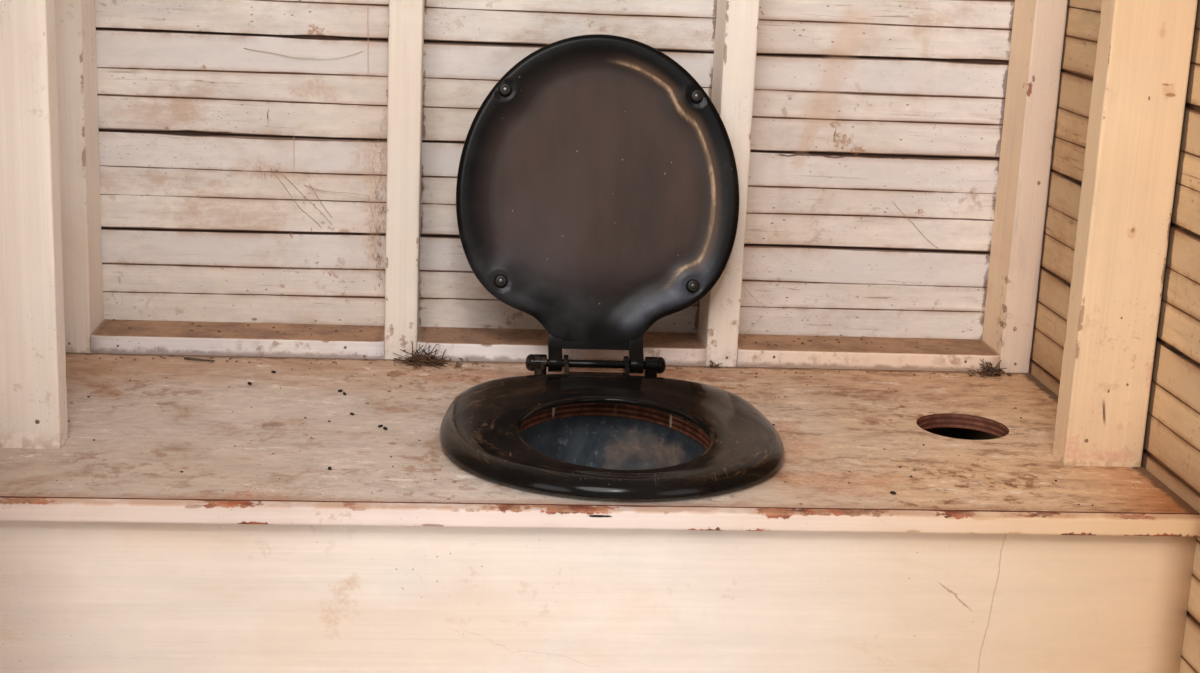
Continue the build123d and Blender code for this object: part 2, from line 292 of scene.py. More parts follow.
def siding_paint(name, axis, c, painted_shade_grey, marks=None):
    """Cream boards, a cooler, greyer band under each joint that is painted shade, with brown grooves, near
    black joints and splinters.
    """
    m = Mat(name, axis)
    paint(m, c, cool=0.35)
    mottle = m.noise(19, 6, 0.78, m.along(0.6, 1.3, 2))
    m.shade(mottle.span(1.07, 0.9))
    smear = m.noise(3.1, 6, 0.7, m.along(0.8, 1.5, 9), 0.9).step(0.5, 0.68)
    m.lay(times(c, 0.84, 0.74, 0.66), smear * mottle.step(0.42, 0.6) * 0.62)
    m.shade(m.fibre(11, 62, 7, 0.8, 13).ramp(0.35, 0.65, 1.055, 0.915))
    chip = m.cells(46, m.along(0.5, 1, 4)).step(0.13, 0.05) * m.noise(4, 4).step(0.5, 0.6)
    m.lay((112, 78, 56), chip * m.speckle.step(0.46, 0.56) * 0.75)
    thin = m.fibre(5.5, 150, 4, 0.65, 17, 1.1).step(0.625, 0.66)
    m.lay(times(c, 0.6, 0.48, 0.38), thin * m.noise(5, 4, 0.6).step(0.5, 0.6) * 0.6)
    pepper = m.cells(95, m.along(0.55, 1)).step(0.14, 0.07) * m.noise(5.1, 4).step(0.47, 0.58)
    m.lay((84, 60, 46), pepper * 0.65)
    hair = m.fibre(14, 260, 5, 0.7, 11, 0.8).step(0.645, 0.685)
    m.lay(times(c, 0.55, 0.43, 0.34), hair * m.patch * 0.55)
    # painted shade: a greyer band under each joint
    m.lay(painted_shade_grey, m.attr("grey") * m.mid.ramp(0.35, 0.65, 0.75, 0.25))
    near, strand, vary = m.attr("near"), m.fibre(3.2, 95, 4, 0.6, 1), m.fibre(7, 7, 3, 0.6, 5)
    m.lay(times(c, 0.74, 0.62, 0.53), near * (vary + m.speckle * 0.4).step(0.58, 0.8) * 0.75)
    m.lay(times(c, 0.5, 0.38, 0.3), (near * 0.5 + strand * 0.8).step(0.835, 0.88) * 0.8)
    m.lay((92, 66, 50), (m.attr("crack") + vary.span(-0.5, 0.2)).step(0.25, 0.75) * 0.85)
    m.lay((58, 42, 34), (m.attr("joint") + strand.span(-0.45, 0.25)).step(0.35, 0.85) * 0.9)
    if marks:
        marks(m)
    return painted(m)


def back_wall_marks(m):
    """The marks of the two bays that show, each at its own place."""
    m.lay((206, 168, 140), m.streaks((0.395, 0.905, 0.345, 0.76, 0.03, 0.01, 9),
                                     (0.345, 0.77, 0.325, 0.7, 0.014, 0.006, 9)) * 0.38)
    m.lay((196, 160, 132), m.blots(BACK_Y, 0.1, (
        (-0.24, 0.681, 0.032, 0.03), (-0.32, 0.78, 0.03, 0.012), (-0.243, 0.6, 0.013, 0.05),
        (-0.486, 0.745, 0.02, 0.012), (-0.391, 0.672, 0.03, 0.012)),
        0.6, wobble=0.9, scale=55, edge=1.2) * 0.55)
    m.lay((168, 120, 88), m.blots(BACK_Y, 0.1, (
        (-0.322, 0.855, 0.01, 0.007), (0.382, 0.735, 0.012, 0.01), (0.405, 0.722, 0.01, 0.006),
        (0.372, 0.757, 0.006, 0.004), (-0.468, 0.803, 0.004, 0.004), (-0.353, 0.584, 0.004, 0.004),
        (-0.301, 0.534, 0.004, 0.003), (-0.366, 0.515, 0.004, 0.003), (-0.09, 0.77, 0.006, 0.004),
        (0.5, 0.64, 0.006, 0.004)), 0.8, wobble=0.9, scale=150) * 0.8)
    m.lay((84, 58, 44), m.streaks(
        (-0.385, 0.747, -0.384, 0.738, 0.0011), (0.3725, 0.747, 0.372, 0.739, 0.0011),
        (-0.34, 0.8485, -0.3, 0.8475, 0.0034, 0.002), (-0.494, 0.719, -0.437, 0.7185, 0.0026, 0.0016),
        (0.3, 0.714, 0.47, 0.7145, 0.0019, 0.003), (0.55, 0.848, 0.602, 0.848, 0.0032, 0.001)) * 0.85)
    # painted shadow beside the two middle studs, broken into brown specks
    ragged = m.x + m.noise(85, 4, 0.7).span(-1, 1) * 0.003
    for x in STUD_X[1:]:
        beside = ragged.step(x - 0.025, x - 0.0232) * ragged.step(x + 0.025, x + 0.0232)
        m.lay((104, 66, 44), beside * m.noise(26, 4, 0.7).step(0.4, 0.54) * 0.72)
    m.lay((188, 146, 116), m.streaks((-0.255, 0.886, -0.254, 0.806, 0.0016, 0.001),
                                     (-0.351, 0.716, -0.35, 0.678, 0.0015, 0.001)) * 0.55)


def right_wall_marks(m):
    """Dirt above the bench, and painted shadow in dark bands behind the side stud and beside the corner
    stud.
    """
    m.lay((150, 104, 66), (m.z + m.mid * 0.1).step(0.6, 0.48) * m.z.step(0.4, 0.43) * 0.45)
    m.lay((142, 98, 62), m.attr("near") * m.noise(13, 5, 0.7).step(0.4, 0.6) * 0.6)
    # painted shadow of the gaps behind the side stud and beside the corner stud
    ragged = m.y + m.speckle.span(-1, 1) * 0.0016
    for near_side, far_side in ((-0.031, 0.019), (0.377, 0.5)):
        beside = ragged.step(near_side - 0.0022, near_side) * m.y.step(far_side + 0.003, far_side)
        m.lay((66, 44, 31), beside * 0.8)


def outside_paint(name, axis, red=0.0):
    """White over old red over grey wood, worn away along the grain."""
    m = Mat(name, axis)
    grain, fine = m.fibre(2.5, 45, 6, 0.72), m.fibre(9, 320, 6, 0.75)
    white = m.mix(m.noise(11, 5).step(0.35, 0.7), (240, 222, 214), (216, 194, 186))
    old_red = m.mix(m.noise(15, 5).step(0.3, 0.7), (182, 88, 78), (208, 132, 122))
    wood = m.mix(fine.step(0.35, 0.65), (150, 128, 112), (112, 90, 76))
    worn = grain * 0.62 + m.noise(2.6, 4, 0.6) * 0.42 + m.attr("wear") * 0.1
    m.col = m.mix(worn.step(0.53 - red, 0.59 - red), white, old_red)
    m.col = m.mix((worn + fine * 0.1).step(0.645, 0.685) * 0.9, m.col, wood)
    m.shade(m.attr("tone").ramp(0, 1, 0.9, 1.04))
    m.lay((168, 132, 118), fine.step(0.55, 0.72) * 0.35)
    m.lay((70, 52, 44), m.attr("joint").step(0.3, 0.8) * 0.8)
    m.lay((128, 106, 88), m.z.step(0.32, 0) * m.noise(6, 5).step(0.3, 0.7) * 0.55)
    m.lay((96, 76, 66), m.cells(4.1, m.along(0.6, 1)).step(0.045, 0.03) * 0.7)
    m.bump((fine, 0.35, 0.0008), (grain, 0.3, 0.0018), (worn.step(0.5, 0.56), 0.5, 0.0008))
    return m.finish(worn.ramp(0.4, 0.7, 0.6, 0.88), Specular_IOR_Level=0.25)


def raw_wood(name, axis):
    m = Mat(name, axis)
    grain, fine = m.fibre(1.2, 55, 6, 0.7, distort=0.4), m.fibre(8, 300, 6, 0.75)
    m.col = m.mix(grain.step(0.34, 0.66), (176, 142, 106), (138, 104, 74))
    m.lay((96, 70, 50), fine.step(0.5, 0.72) * 0.5)
    m.shade(m.attr("tone").ramp(0, 1, 0.88, 1.08))
    m.lay((128, 112, 98), m.noise(5, 5).step(0.45, 0.7) * 0.4)
    m.bump((fine, 0.4, 0.0008), (grain, 0.3, 0.0015))
    return m.finish(0.82, Specular_IOR_Level=0.2)


def bench_board(name):
    """Worn plywood: pale and scuffed at the left, browner at the back and the right, warmer towards the
    right in painted warm light, red-brown cut edges.
    """
    m = Mat(name)
    slow, mid, scuff = m.noise(2.4, 3), m.noise(10, 6, 0.68, distort=0.8), m.noise(44, 6, 0.72)
    fine = m.drawn(12, 230, 12)
    m.col = m.mix(slow.step(0.35, 0.65), (204, 187, 174), (190, 169, 153))
    # painted warm light: the top turns warmer towards the right
    m.lay((217, 172, 124), (m.x + slow.span(-0.1, 0.1)).step(0.02, 0.62) * 0.8)
    m.lay((165, 88, 22), m.x.step(0.5, 0.66) * m.y.step(0.1, -0.2) * 0.95)
    m.lay((190, 144, 108), (m.y + mid.span(-0.07, 0.07)).step(0.12, 0.36) * 0.62)
    m.shade(fine.span(0.94, 1.05) * mid.span(1.04, 0.93))
    m.lay((158, 114, 82), mid.step(0.54, 0.7) * 0.5)
    zone, brown = m.noise(4.4, 4).step(0.4, 0.6), (m.x + m.y).ramp(-0.3, 0.4, 0.5, 1)
    m.lay((140, 96, 66), scuff.step(0.54, 0.6) * zone * brown)
    rub = m.drawn(22, 60, 22, 6, 0.75, 4, 0.5)
    m.lay((138, 98, 70), rub.step(0.57, 0.66) * m.noise(3.3, 4).step(0.4, 0.6) * brown)
    m.lay((238, 226, 212), rub.step(0.43, 0.36) * mid.step(0.54, 0.42) * 0.62)
    m.lay((236, 222, 206), scuff.step(0.43, 0.36) * mid.step(0.52, 0.4) * 0.5)
    stains = [((x, y, BENCH_Z), (rx, ry, 0.1)) for x, y, rx, ry in (
        (-0.1, 0.3, 0.075, 0.03), (0.235, 0.06, 0.045, 0.085), (0.275, -0.1, 0.06, 0.045),
        (-0.33, -0.17, 0.05, 0.016), (0.12, 0.33, 0.1, 0.03))]
    m.lay((182, 112, 70), m.spots(stains, 0.7, wobble=1, scale=30, edge=1.2) * 0.5)
    m.lay((150, 104, 72), (m.y + scuff.span(-0.012, 0.012)).step(-0.163, -0.18) * 0.45)
    worked, right = m.noise(26, 8, 0.82, m.stretch(0.7, 1.6, 1, 8)), (m.x + m.y * 0.5).step(-0.1, 0.45)
    m.shade(worked.ramp(0.35, 0.65, 1.12, 0.87))
    m.lay((128, 80, 48), worked.step(0.52, 0.62) * right.ramp(0, 1, 0.12, 0.62))
    m.lay((231, 204, 166), worked.step(0.44, 0.35) * right * 0.55)
    m.lay((172, 134, 104), m.drawn(3.5, 60, 8, 4, 0.6, 2, 0.9).step(0.62, 0.7) * 0.35)
    m.lay((74, 54, 42), m.cells(150).step(0.16, 0.08) * m.noise(6.4, 4).step(0.47, 0.58) * 0.65)
    # darker bands along the side walls and along the back
    side_dark_band = (abs(m.x) + scuff.span(-0.005, 0.005)).step(0.628, 0.636)
    back_dark_band = (m.y + scuff.span(-0.006, 0.006)).step(0.366, 0.376)
    m.lay((78, 54, 40), most(side_dark_band, back_dark_band * 0.8) * 0.8)
    # cut edges: red-brown plies, with two pale drips in the drop hole
    two_plies = 0.0066
    ply = m.math("SINE", (m.z + m.noise(20, 3).ramp(0, 1, -0.0006, 0.0006)) * (2 * math.pi / two_plies))
    drips = ((-0.012, 0.185, 0.434), (0.0016, 0.03, 0.009)), ((0.128, 0.16, 0.432), (0.0013, 0.03, 0.01))
    edge = m.mix(ply.step(-0.3, 0.6), (104, 56, 42), (168, 104, 74))
    for colour, f in (((66, 38, 30), m.noise(60, 5).step(0.42, 0.62) * 0.6),
                      ((190, 150, 122), m.drawn(70, 70, 9, 4, 0.6).step(0.63, 0.7) * 0.3),
                      ((226, 200, 172), m.spots(drips, wobble=0.4, scale=150)),
                      ((92, 54, 42), m.x.step(0.3, 0.36) * 0.45)):
        edge = m.mix(f, edge, colour)
    m.col = m.mix(abs(m.nz).step(0.7, 0.4), m.col, edge)
    m.lay((158, 122, 90), m.nz.step(-0.5, -0.8))
    m.bump((fine, 0.1, 0.0008), (scuff, 0.22, 0.001), (mid, 0.18, 0.0022))
    return m.finish(mid.span(0.58, 0.78), Specular_IOR_Level=0.25)


def nosing_paint(name):
    """Chipped to red-brown wood along its upper edge and here and there along the lower one."""
    m = Mat(name)
    paint(m, (223, 202, 190), 0.55, 0.2, 0.2)
    # painted warm light: warmer towards the right
    m.lay((223, 181, 133), m.x.step(0.05, 0.62) * 0.85)
    ragged = {"wobble": 0.8, "scale": 120, "edge": 0.3}
    upper = m.blots(BENCH_FRONT, 0.5, [(x, BENCH_Z + 0.001, half, tall) for x, half, tall in (
        (-0.353, 0.026, 0.003), (-0.234, 0.006, 0.0022), (-0.075, 0.022, 0.003), (-0.012, 0.034, 0.0046),
        (0.197, 0.02, 0.0052), (0.25, 0.06, 0.0028), (0.383, 0.018, 0.0036), (0.47, 0.03, 0.0014),
        (0.57, 0.02, 0.0018), (-0.55, 0.03, 0.0022))], **ragged)
    lower = m.blots(BENCH_FRONT, 0.5, [(x, BENCH_Z - 0.0205, half, 0.004) for x, half in (
        (-0.328, 0.014), (0.128, 0.02), (0.175, 0.01), (0.513, 0.016), (0.6, 0.038))], **ragged)
    bare = m.mix(m.noise(40, 4).step(0.4, 0.6), (166, 94, 64), (106, 60, 44))
    m.col = m.mix(most(upper, lower), m.col, bare)
    m.lay((34, 24, 20), m.spot((0.015, BENCH_FRONT, 0.4345), (0.012, 0.3, 0.0014), 0.3, 90))
    m.lay((190, 144, 112), m.z.step(0.437, 0.4392) * m.noise(34, 5).step(0.36, 0.56) * 0.6)
    m.relief.append((1 - upper, 0.6, 0.001))
    return painted(m, 0.28)


def riser_paint(name):
    """Washed and spotted, with a stain in three blots, two cracks and a faint scratch."""
    m = Mat(name)
    paint(m, (224, 208, 194), 0.28, 0.2, 0)
    # painted warm light: warmer towards the right
    m.lay((224, 189, 150), (m.x + m.mid.span(-0.05, 0.05)).step(0.1, 0.64) * 0.85)
    m.lay((198, 158, 128), m.blots(RISER_Y, 0.5, (
        (-0.252, 0.314, 0.009, 0.02), (-0.243, 0.331, 0.012, 0.016), (-0.234, 0.35, 0.01, 0.008)),
        0.7, wobble=1, scale=55, edge=1.2) * 0.55)
    wash = m.drawn(9, 9, 34, 6, 0.72, 6, 0.6)
    m.shade(wash.span(1.035, 0.955))
    m.lay((214, 178, 142), wash.step(0.56, 0.7) * m.noise(2.6, 4).step(0.45, 0.62) * 0.45)
    m.lay((128, 90, 66), m.cells(64).step(0.075, 0.03) * m.noise(5, 3).step(0.48, 0.58) * 0.75)
    m.lay((214, 180, 152), m.blots(RISER_Y, 0.5, (
        (-0.13, 0.29, 0.2, 0.05), (0.4, 0.405, 0.05, 0.01), (-0.4, 0.4, 0.06, 0.02)),
        wobble=0.8, scale=14, edge=1.2) * 0.28)
    lines = most(m.streak(0.441, 0.42, 0.42, 0.2, 0.001, 0.0025) * 0.7,
                 m.streak(0.376, 0.357, 0.408, 0.332, 0.0014),
                 m.streak(-0.13, 0.3, 0.02, 0.262, 0.0009, 0.01, 12) * 0.25)
    m.lay((132, 92, 66), lines * 0.55)
    # painted shadow: a brown band along the top, just under the nosing
    m.lay((150, 110, 82), m.z.step(0.414, 0.4215) * 0.45)
    return painted(m, 0.28)


def stud_paint(name, c, marks):
    """Dirty where it stands on the bench, with marks of its own."""
    m = Mat(name, "z")
    paint(m, c, 0.55, 0.25, 0.6)
    foot = (m.z + m.speckle.span(-0.02, 0.02)).step(0.472, 0.448) * m.z.step(0.4, 0.43)
    m.lay((160, 116, 90), foot * m.speckle.step(0.44, 0.62) * 0.55)
    marks(m)
    return painted(m, 0.28)


def post_marks(m):
    """Knots, stains and nail holes of the right side stud."""
    face = SIDE_STUD_Y, 0.03
    m.lay((196, 136, 92), m.blots(*face, (
        (0.599, 0.709, 0.005, 0.0075), (0.621, 0.863, 0.0065, 0.008), (0.607, 0.926, 0.003, 0.008)),
        0.3, wobble=0.6, scale=110, edge=1) * 0.45)
    m.lay((150, 98, 62), m.blots(*face, (
        (0.6, 0.711, 0.0022, 0.0036), (0.624, 0.858, 0.0046, 0.0016), (0.618, 0.869, 0.005, 0.0012)),
        wobble=0.8, scale=110, edge=0.8) * 0.75)
    m.lay((214, 160, 136), m.blots(*face, (
        (0.641, 0.544, 0.006, 0.02), (0.56, 0.462, 0.01, 0.012), (0.6, 0.452, 0.045, 0.006)),
        0.7, wobble=0.9, scale=70) * 0.6)
    holes = m.blots(*face, (
        (0.599, 0.612, 0.0011, 0.0013), (0.615, 0.536, 0.0012, 0.0014), (0.594, 0.528, 0.0012, 0.002),
        (0.601, 0.854, 0.0008, 0.002)), wobble=0.6, scale=120)
    m.lay((92, 60, 42), most(m.streak(0.59, 0.512, 0.593, 0.495, 0.0022, 0.001), holes) * 0.85)
    m.shade(m.fibre(3, 24, 4, 0.6).span(0.965, 1.03))


def stud_chips(m, tall, places):
    """Small chips on the front of the back studs, each (x, z, half width)."""
    chips = [(x, z, r, r * tall) for x, z, r in places]
    return m.blots(STUD_Y, 0.02, chips, 0.6, wobble=1, scale=130, edge=0.4)


def corner_marks(m):
    """Greyer on its front, with chips down its edge and one red-brown chip."""
    front = m.ny.step(-0.4, -0.8)
    m.lay((214, 196, 188), front * 0.45)
    m.lay((126, 80, 56), stud_chips(m, 1.7, (
        (0.601, 0.566, 0.0026), (0.602, 0.527, 0.0034), (0.6, 0.487, 0.0034), (0.592, 0.581, 0.0018),
        (0.594, 0.632, 0.002), (0.596, 0.609, 0.0024), (0.597, 0.66, 0.002), (0.595, 0.69, 0.0016),
        (0.599, 0.545, 0.0024), (0.603, 0.506, 0.0028), (0.618, 0.5, 0.0022),
        (0.63, 0.7, 0.0016))) * 0.85)
    red = (0.6055, 0.822, 0.003, 0.0085), (0.609, 0.836, 0.0016, 0.004)
    m.lay((140, 66, 42), m.blots(STUD_Y, 0.02, red, wobble=0.9, scale=150, edge=0.3) * 0.85)
    m.lay((196, 176, 170), m.fibre(2.2, 38, 5, 0.68, distort=0.6).step(0.48, 0.62) * front * 0.5)


def back_stud_marks(m):
    m.lay((150, 106, 80), stud_chips(m, 1.4, (
        (-0.216, 0.48, 0.0038), (-0.2, 0.466, 0.0045), (-0.222, 0.468, 0.003), (-0.19, 0.486, 0.0024),
        (0.211, 0.472, 0.0036), (0.236, 0.5, 0.0024), (0.206, 0.486, 0.003), (0.203, 0.56, 0.002),
        (-0.222, 0.52, 0.0022), (0.242, 0.53, 0.0018))) * 0.7)


def girt_paint(name):
    """Dust on the top, dirt along the foot of the front."""
    m = Mat(name)
    paint(m, (246, 238, 234), 1, 0.5, 1)
    # painted warm light: warmer towards the right
    m.lay((240, 206, 176), m.x.step(-0.05, 0.5) * 0.8)
    dusty = m.mix(m.noise(20, 5, 0.7).step(0.35, 0.68), (168, 126, 92), (122, 84, 58))
    m.col = m.mix(m.nz.step(0.5, 0.9) * 0.92, m.col, dusty)
    front = m.ny.step(-0.5, -0.9)
    m.lay((140, 100, 76), front * m.speckle.step(0.5, 0.64) * m.patch * 0.5)
    m.lay((120, 84, 62), (m.z + m.speckle.span(-0.004, 0.004)).step(0.449, 0.442) * front * 0.6)
    return painted(m)


def black(name):
    """Glossy black moulding, before its dust and rubbed places."""
    m = Mat(name)
    m.cloud = m.noise(7, 5, 0.65, distort=0.5)
    m.col = m.mix(m.cloud.step(0.35, 0.7), (11, 9, 8), (22, 17, 14))
    m.gloss = m.cloud.span(0.09, 0.18)
    m.bump((m.noise(110, 4, 0.7), 0.05, 0.0004), (m.cloud, 0.05, 0.001))
    return m


def lid_black(name):
    """The dished middle is dull brown-grey, with a rubbed line round it that is also a painted highlight,
    and a painted blue-grey sheen low down and at the lower right.
    """
    m = black(name)
    flat = m.attr("flat")
    middle = m.mix(m.drawn(20, 7, 7, 4, 0.6).step(0.3, 0.7), (78, 62, 56), (66, 54, 49))
    # painted sheen: the middle turns greyer and bluer low on the lid
    middle = m.mix((m.z + m.cloud * 0.1).step(0.66, 0.54) * 0.5, middle, (66, 60, 64))
    m.col = m.mix(flat, m.col, middle)
    nicks = most(m.cells(19, m.stretch(1, 1, 0.35)).step(0.04, 0.025), m.cells(47).step(0.055, 0.04)) * flat
    nicks = most(nicks, m.cells(60).step(0.07, 0.05) * m.cloud.step(0.5, 0.6) * 0.7)
    m.lay((186, 168, 146), nicks * 0.45)
    # the rubbed line on the right inner slope, with its brown halo, is also a painted highlight
    m.lay((120, 92, 72), m.attr("halo") * 0.35)
    rubbed = m.drawn(70, 70, 20, 4, 0.65).step(0.4, 0.6).ramp(0, 1, 0.35, 1)
    m.lay((196, 164, 132), m.attr("rub") * rubbed * 0.85)
    # painted sheen: a blue-grey haze low on the lid
    m.lay((92, 88, 92), m.noise(5, 5, 0.6).step(0.46, 0.66) * m.z.step(0.8, 0.56) * 0.22)
    # painted reflection: a blue-grey sheen at the lower right
    m.lay((112, 114, 128), m.attr("sheen") * m.noise(34, 5, 0.7).ramp(0.35, 0.65, 0.55, 1) * 0.42)
    return m.finish(most(m.gloss + 0.12, flat * 0.55), Specular_IOR_Level=0.085)


def dusty_black(name, dust=1.0, left_dust=False):
    """Brown dust wiped round the seat's middle, more of it at the sides, with scratches and grit."""
    m = black(name)
    up, clouds, inner = m.nz.step(0.6, 0.98), m.noise(17, 8, 0.78, distort=0.5), m.attr("inner")
    u, v = m.x - SEAT_X, m.y + 0.006
    side = abs(u).step(0.03, 0.17)
    round_ = m.node("ShaderNodeCombineXYZ", X=m.math("ARCTAN2", v, u) * 1.9,
                    Y=m.math("SQRT", u * u + v * v) * 75, Z=m.z * 30).outputs[0]
    wiped = m.noise(1, 6, 0.72, round_, 0.4)
    film = up * (clouds.step(0.46, 0.66) * 0.45 + wiped.step(0.49, 0.62) * 0.65) * (side * 0.62 + 0.1) * dust
    m.lay((64, 42, 26), film)
    wisps = most(m.noise(1, 5, 0.7, round_, 1.4).step(0.575, 0.655),
                 m.noise(1, 6, 0.75, round_, 2.2).step(0.56, 0.64) * clouds)
    m.lay((124, 96, 70), wisps * up * (side * 0.65 + 0.1) * (0.62 * dust))
    if left_dust:
        m.lay((96, 76, 60), m.x.step(0.03, -0.02) * m.noise(60, 5, 0.7).step(0.46, 0.62) * 0.45)
    m.lay((158, 122, 86), inner * m.y.step(0.02, -0.1) * m.noise(24, 5).step(0.34, 0.6) * (0.65 * dust))
    scratch = m.drawn(150, 12, 12, 3, 0.6, 1, 1.8).step(0.655, 0.7) * clouds.step(0.42, 0.6) * up
    m.lay((128, 100, 74), scratch * (0.45 * dust))
    m.lay((150, 124, 96), m.cells(170).step(0.16, 0.09) * clouds.step(0.45, 0.6) * up * (0.5 * dust))
    return m.finish(most(m.gloss, film * 0.75 * (1 - inner)), Specular_IOR_Level=0.13)


def chute_sheet(name):
    """Blue-grey sheet with runs, and the worn arch that the hole shows."""
    m = Mat(name)
    cloud, grit = m.noise(14, 6, 0.72, distort=0.7), m.noise(70, 5, 0.75)
    m.col = m.mix(cloud.step(0.3, 0.7), (58, 64, 71), (90, 96, 102))
    m.lay((150, 152, 156), grit.step(0.56, 0.66) * 0.5)
    middle = m.spot((0.1, 0.2, 0.352), (0.03, 0.3, 0.024), 0.3, 40, 0.9)
    arch = m.spot((0.108, 0.2, 0.368), (0.05, 0.3, 0.036), 0.35, 40, 0.7) * (1 - middle * 0.75)
    m.lay((156, 132, 116), arch * grit.ramp(0.35, 0.65, 0.35, 0.85))
    m.lay((38, 40, 46), m.drawn(40, 40, 5).step(0.56, 0.7) * 0.45)
    m.bump((cloud, 0.25, 0.002), (grit, 0.2, 0.0008))
    return m.finish(cloud.span(0.42, 0.66), Metallic=0.15)


def plain(name, c, rough, metallic, speck, k):
    m = Mat(name)
    n = m.noise(60, 5, 0.7)
    m.col = m.mix(n.step(0.45, 0.65) * k, c, speck)
    m.bump((n, 0.12, 0.0004))
    return m.finish(n.span(rough * 0.85, min(1.0, rough * 1.15)), Metallic=metallic, Specular_IOR_Level=0.35)


MAT = {
    # each siding's second colour is the grey of the painted shade under its joints
    "siding_back": siding_paint("siding_back_paint", "x", (238, 227, 217), (222, 215, 213), back_wall_marks),
    # the right wall is a warmer copy of the back wall's paint: painted warm light on the right
    "siding_right": siding_paint("siding_right_paint", "y", (218, 184, 142), (200, 168, 132),
                                 right_wall_marks),
    "siding_left": siding_paint("siding_left_paint", "y", (234, 216, 200), (216, 202, 194)),
    "outside_x": outside_paint("outside_paint_x", "x"),
    "outside_y": outside_paint("outside_paint_y", "y"),
    "trim": outside_paint("outside_trim_paint", "z", 0.03),
    "raw_x": raw_wood("raw_timber_x", "x"),
    "raw_y": raw_wood("raw_timber_y", "y"),
    "bench": bench_board("bench_ply"),
    "nosing": nosing_paint("nosing_paint"),
    "riser": riser_paint("riser_paint"),
    "stud": stud_paint("stud_paint", (246, 233, 219), back_stud_marks),
    # the corner stud and the right posts take warmer copies of the stud paint: painted warm light on the
    # right
    "corner": stud_paint("corner_stud_paint", (248, 218, 184), corner_marks),
    "post": stud_paint("post_paint", (234, 200, 161), post_marks),
    "girt": girt_paint("girt_paint"),
    "lid": lid_black("lid_black"),
    "ring": dusty_black("ring_black"),
    "hinge": dusty_black("hinge_black", 0.6, True),
    "chute": chute_sheet("chute_sheet"),
    "screw": plain("screw_head", (84, 78, 74), 0.3, 0.8, (52, 42, 36), 0.5),
    "rubber": plain("bumper_rubber", (15, 13, 12), 0.45, 0.0, (44, 36, 31), 0.35),
    "nail": plain("nail_head", (150, 122, 100), 0.6, 0.3, (104, 70, 50), 0.7),
    "twig": plain("twig_bark", (92, 80, 70), 0.85, 0.0, (60, 46, 36), 0.6),
    "litter": plain("dry_litter", (104, 76, 56), 0.9, 0.0, (58, 42, 33), 0.7),
    "dropping": plain("black_specks", (30, 24, 21), 0.7, 0.0, (56, 42, 34), 0.5),
    "web": plain("web_dust", (186, 164, 142), 0.9, 0.0, (130, 100, 78), 0.6),
}


def link(name, data):
    ob = bpy.data.objects.new(name, data)
    bpy.context.scene.collection.objects.link(ob)
    return ob


def make(name, verts, faces, mats, smooth=True, attrs=None, face_mats=None):
    """A mesh object that faces outwards. attrs: values by vertex; face_mats: material by face."""
    me = bpy.data.meshes.new(name)
    me.from_pydata([tuple(v) for v in verts], [], faces)
    for k, vals in (attrs or {}).items():
        me.attributes.new(k, "FLOAT", "POINT").data.foreach_set("value", vals)
    for mt in mats if isinstance(mats, list) else [mats]:
        me.materials.append(mt)
    if face_mats:
        me.polygons.foreach_set("material_index", face_mats)
    me.polygons.foreach_set("use_smooth", [smooth] * len(me.polygons))
    me.update()
    bm = bmesh.new()
    bm.from_mesh(me)
    bmesh.ops.recalc_face_normals(bm, faces=bm.faces)
    bm.to_mesh(me)
    bm.free()
    return link(name, me)


def place(ob, body, slot, *nodes):
    """Gives a piece its body, and lets it replace the solids of some nodes; slot is not used."""
    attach(ob, body)
    if nodes:
        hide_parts(*nodes)


def tube_faces(rings, c, start=0, caps=True, closed=False):
    """Faces of a run of rings of c points each, numbered from start."""
    out = []
    for k in range(rings if closed else rings - 1):
        a, b = start + k * c, start + (k + 1) % rings * c
        out += [(a + i, a + (i + 1) % c, b + (i + 1) % c, b + i) for i in range(c)]
    if caps and not closed:
        last = start + (rings - 1) * c
        out += [tuple(range(start + c - 1, start - 1, -1)), tuple(range(last, last + c))]
    return out


def turn(n):
    """n angles round a full circle."""
    return [2 * math.pi * i / n for i in range(n)]


def arc(r, first, last, n=20, cx=0.0, cy=0.0):
    """Points on an arc, angles in degrees."""
    angles = [math.radians(first + (last - first) * i / n) for i in range(n + 1)]
    return [(cx + r * math.cos(a), cy + r * math.sin(a)) for a in angles]


def mirrored(half):
    """A closed outline from its half, which starts and ends on the axis."""
    return half + [(-x, y) for x, y in half[-2:0:-1]]


def closed_line(pts, n):
    """n points along the smooth closed curve through pts."""
    p = np.array(pts, float)
    m = len(p)
    h = np.linalg.norm(np.roll(p, -1, 0) - p, axis=1)
    system, drive = np.zeros((m, m)), np.zeros((m, p.shape[1]))
    for i in range(m):
        a, b, j = h[i - 1], h[i], (i + 1) % m
        system[i, i - 1] += a
        system[i, i] += 2 * (a + b)
        system[i, j] += b
        drive[i] = 6 * ((p[j] - p[i]) / b - (p[i] - p[i - 1]) / a)
    bend = np.linalg.solve(system, drive)
    ends = np.concatenate(([0], np.cumsum(h)))
    out = []
    for s in np.linspace(0, ends[-1], n, endpoint=False):
        i = min(int(np.searchsorted(ends, s, side="right")) - 1, m - 1)
        j, t = (i + 1) % m, s - ends[i]
        u = h[i] - t
        q = (bend[i] * u ** 3 + bend[j] * t ** 3) / (6 * h[i]) + (p[i] / h[i] - bend[i] * h[i] / 6) * u
        out.append(Vector(q + (p[j] / h[i] - bend[j] * h[i] / 6) * t))
    return out


def reach(outline, centre, angle):
    """Distance from centre to a closed outline in a direction."""
    dx, dy = math.cos(angle), math.sin(angle)
    best = 0.0
    for i in range(len(outline)):
        a, b = outline[i] - centre, outline[(i + 1) % len(outline)] - centre
        e = b - a
        den = dx * e.y - dy * e.x
        if abs(den) < 1e-12:
            continue
        t = (a.x * e.y - a.y * e.x) / den
        s = (a.x * dy - a.y * dx) / den
        if t > 0 and -1e-6 <= s <= 1 + 1e-6:
            best = max(best, t)
    return best


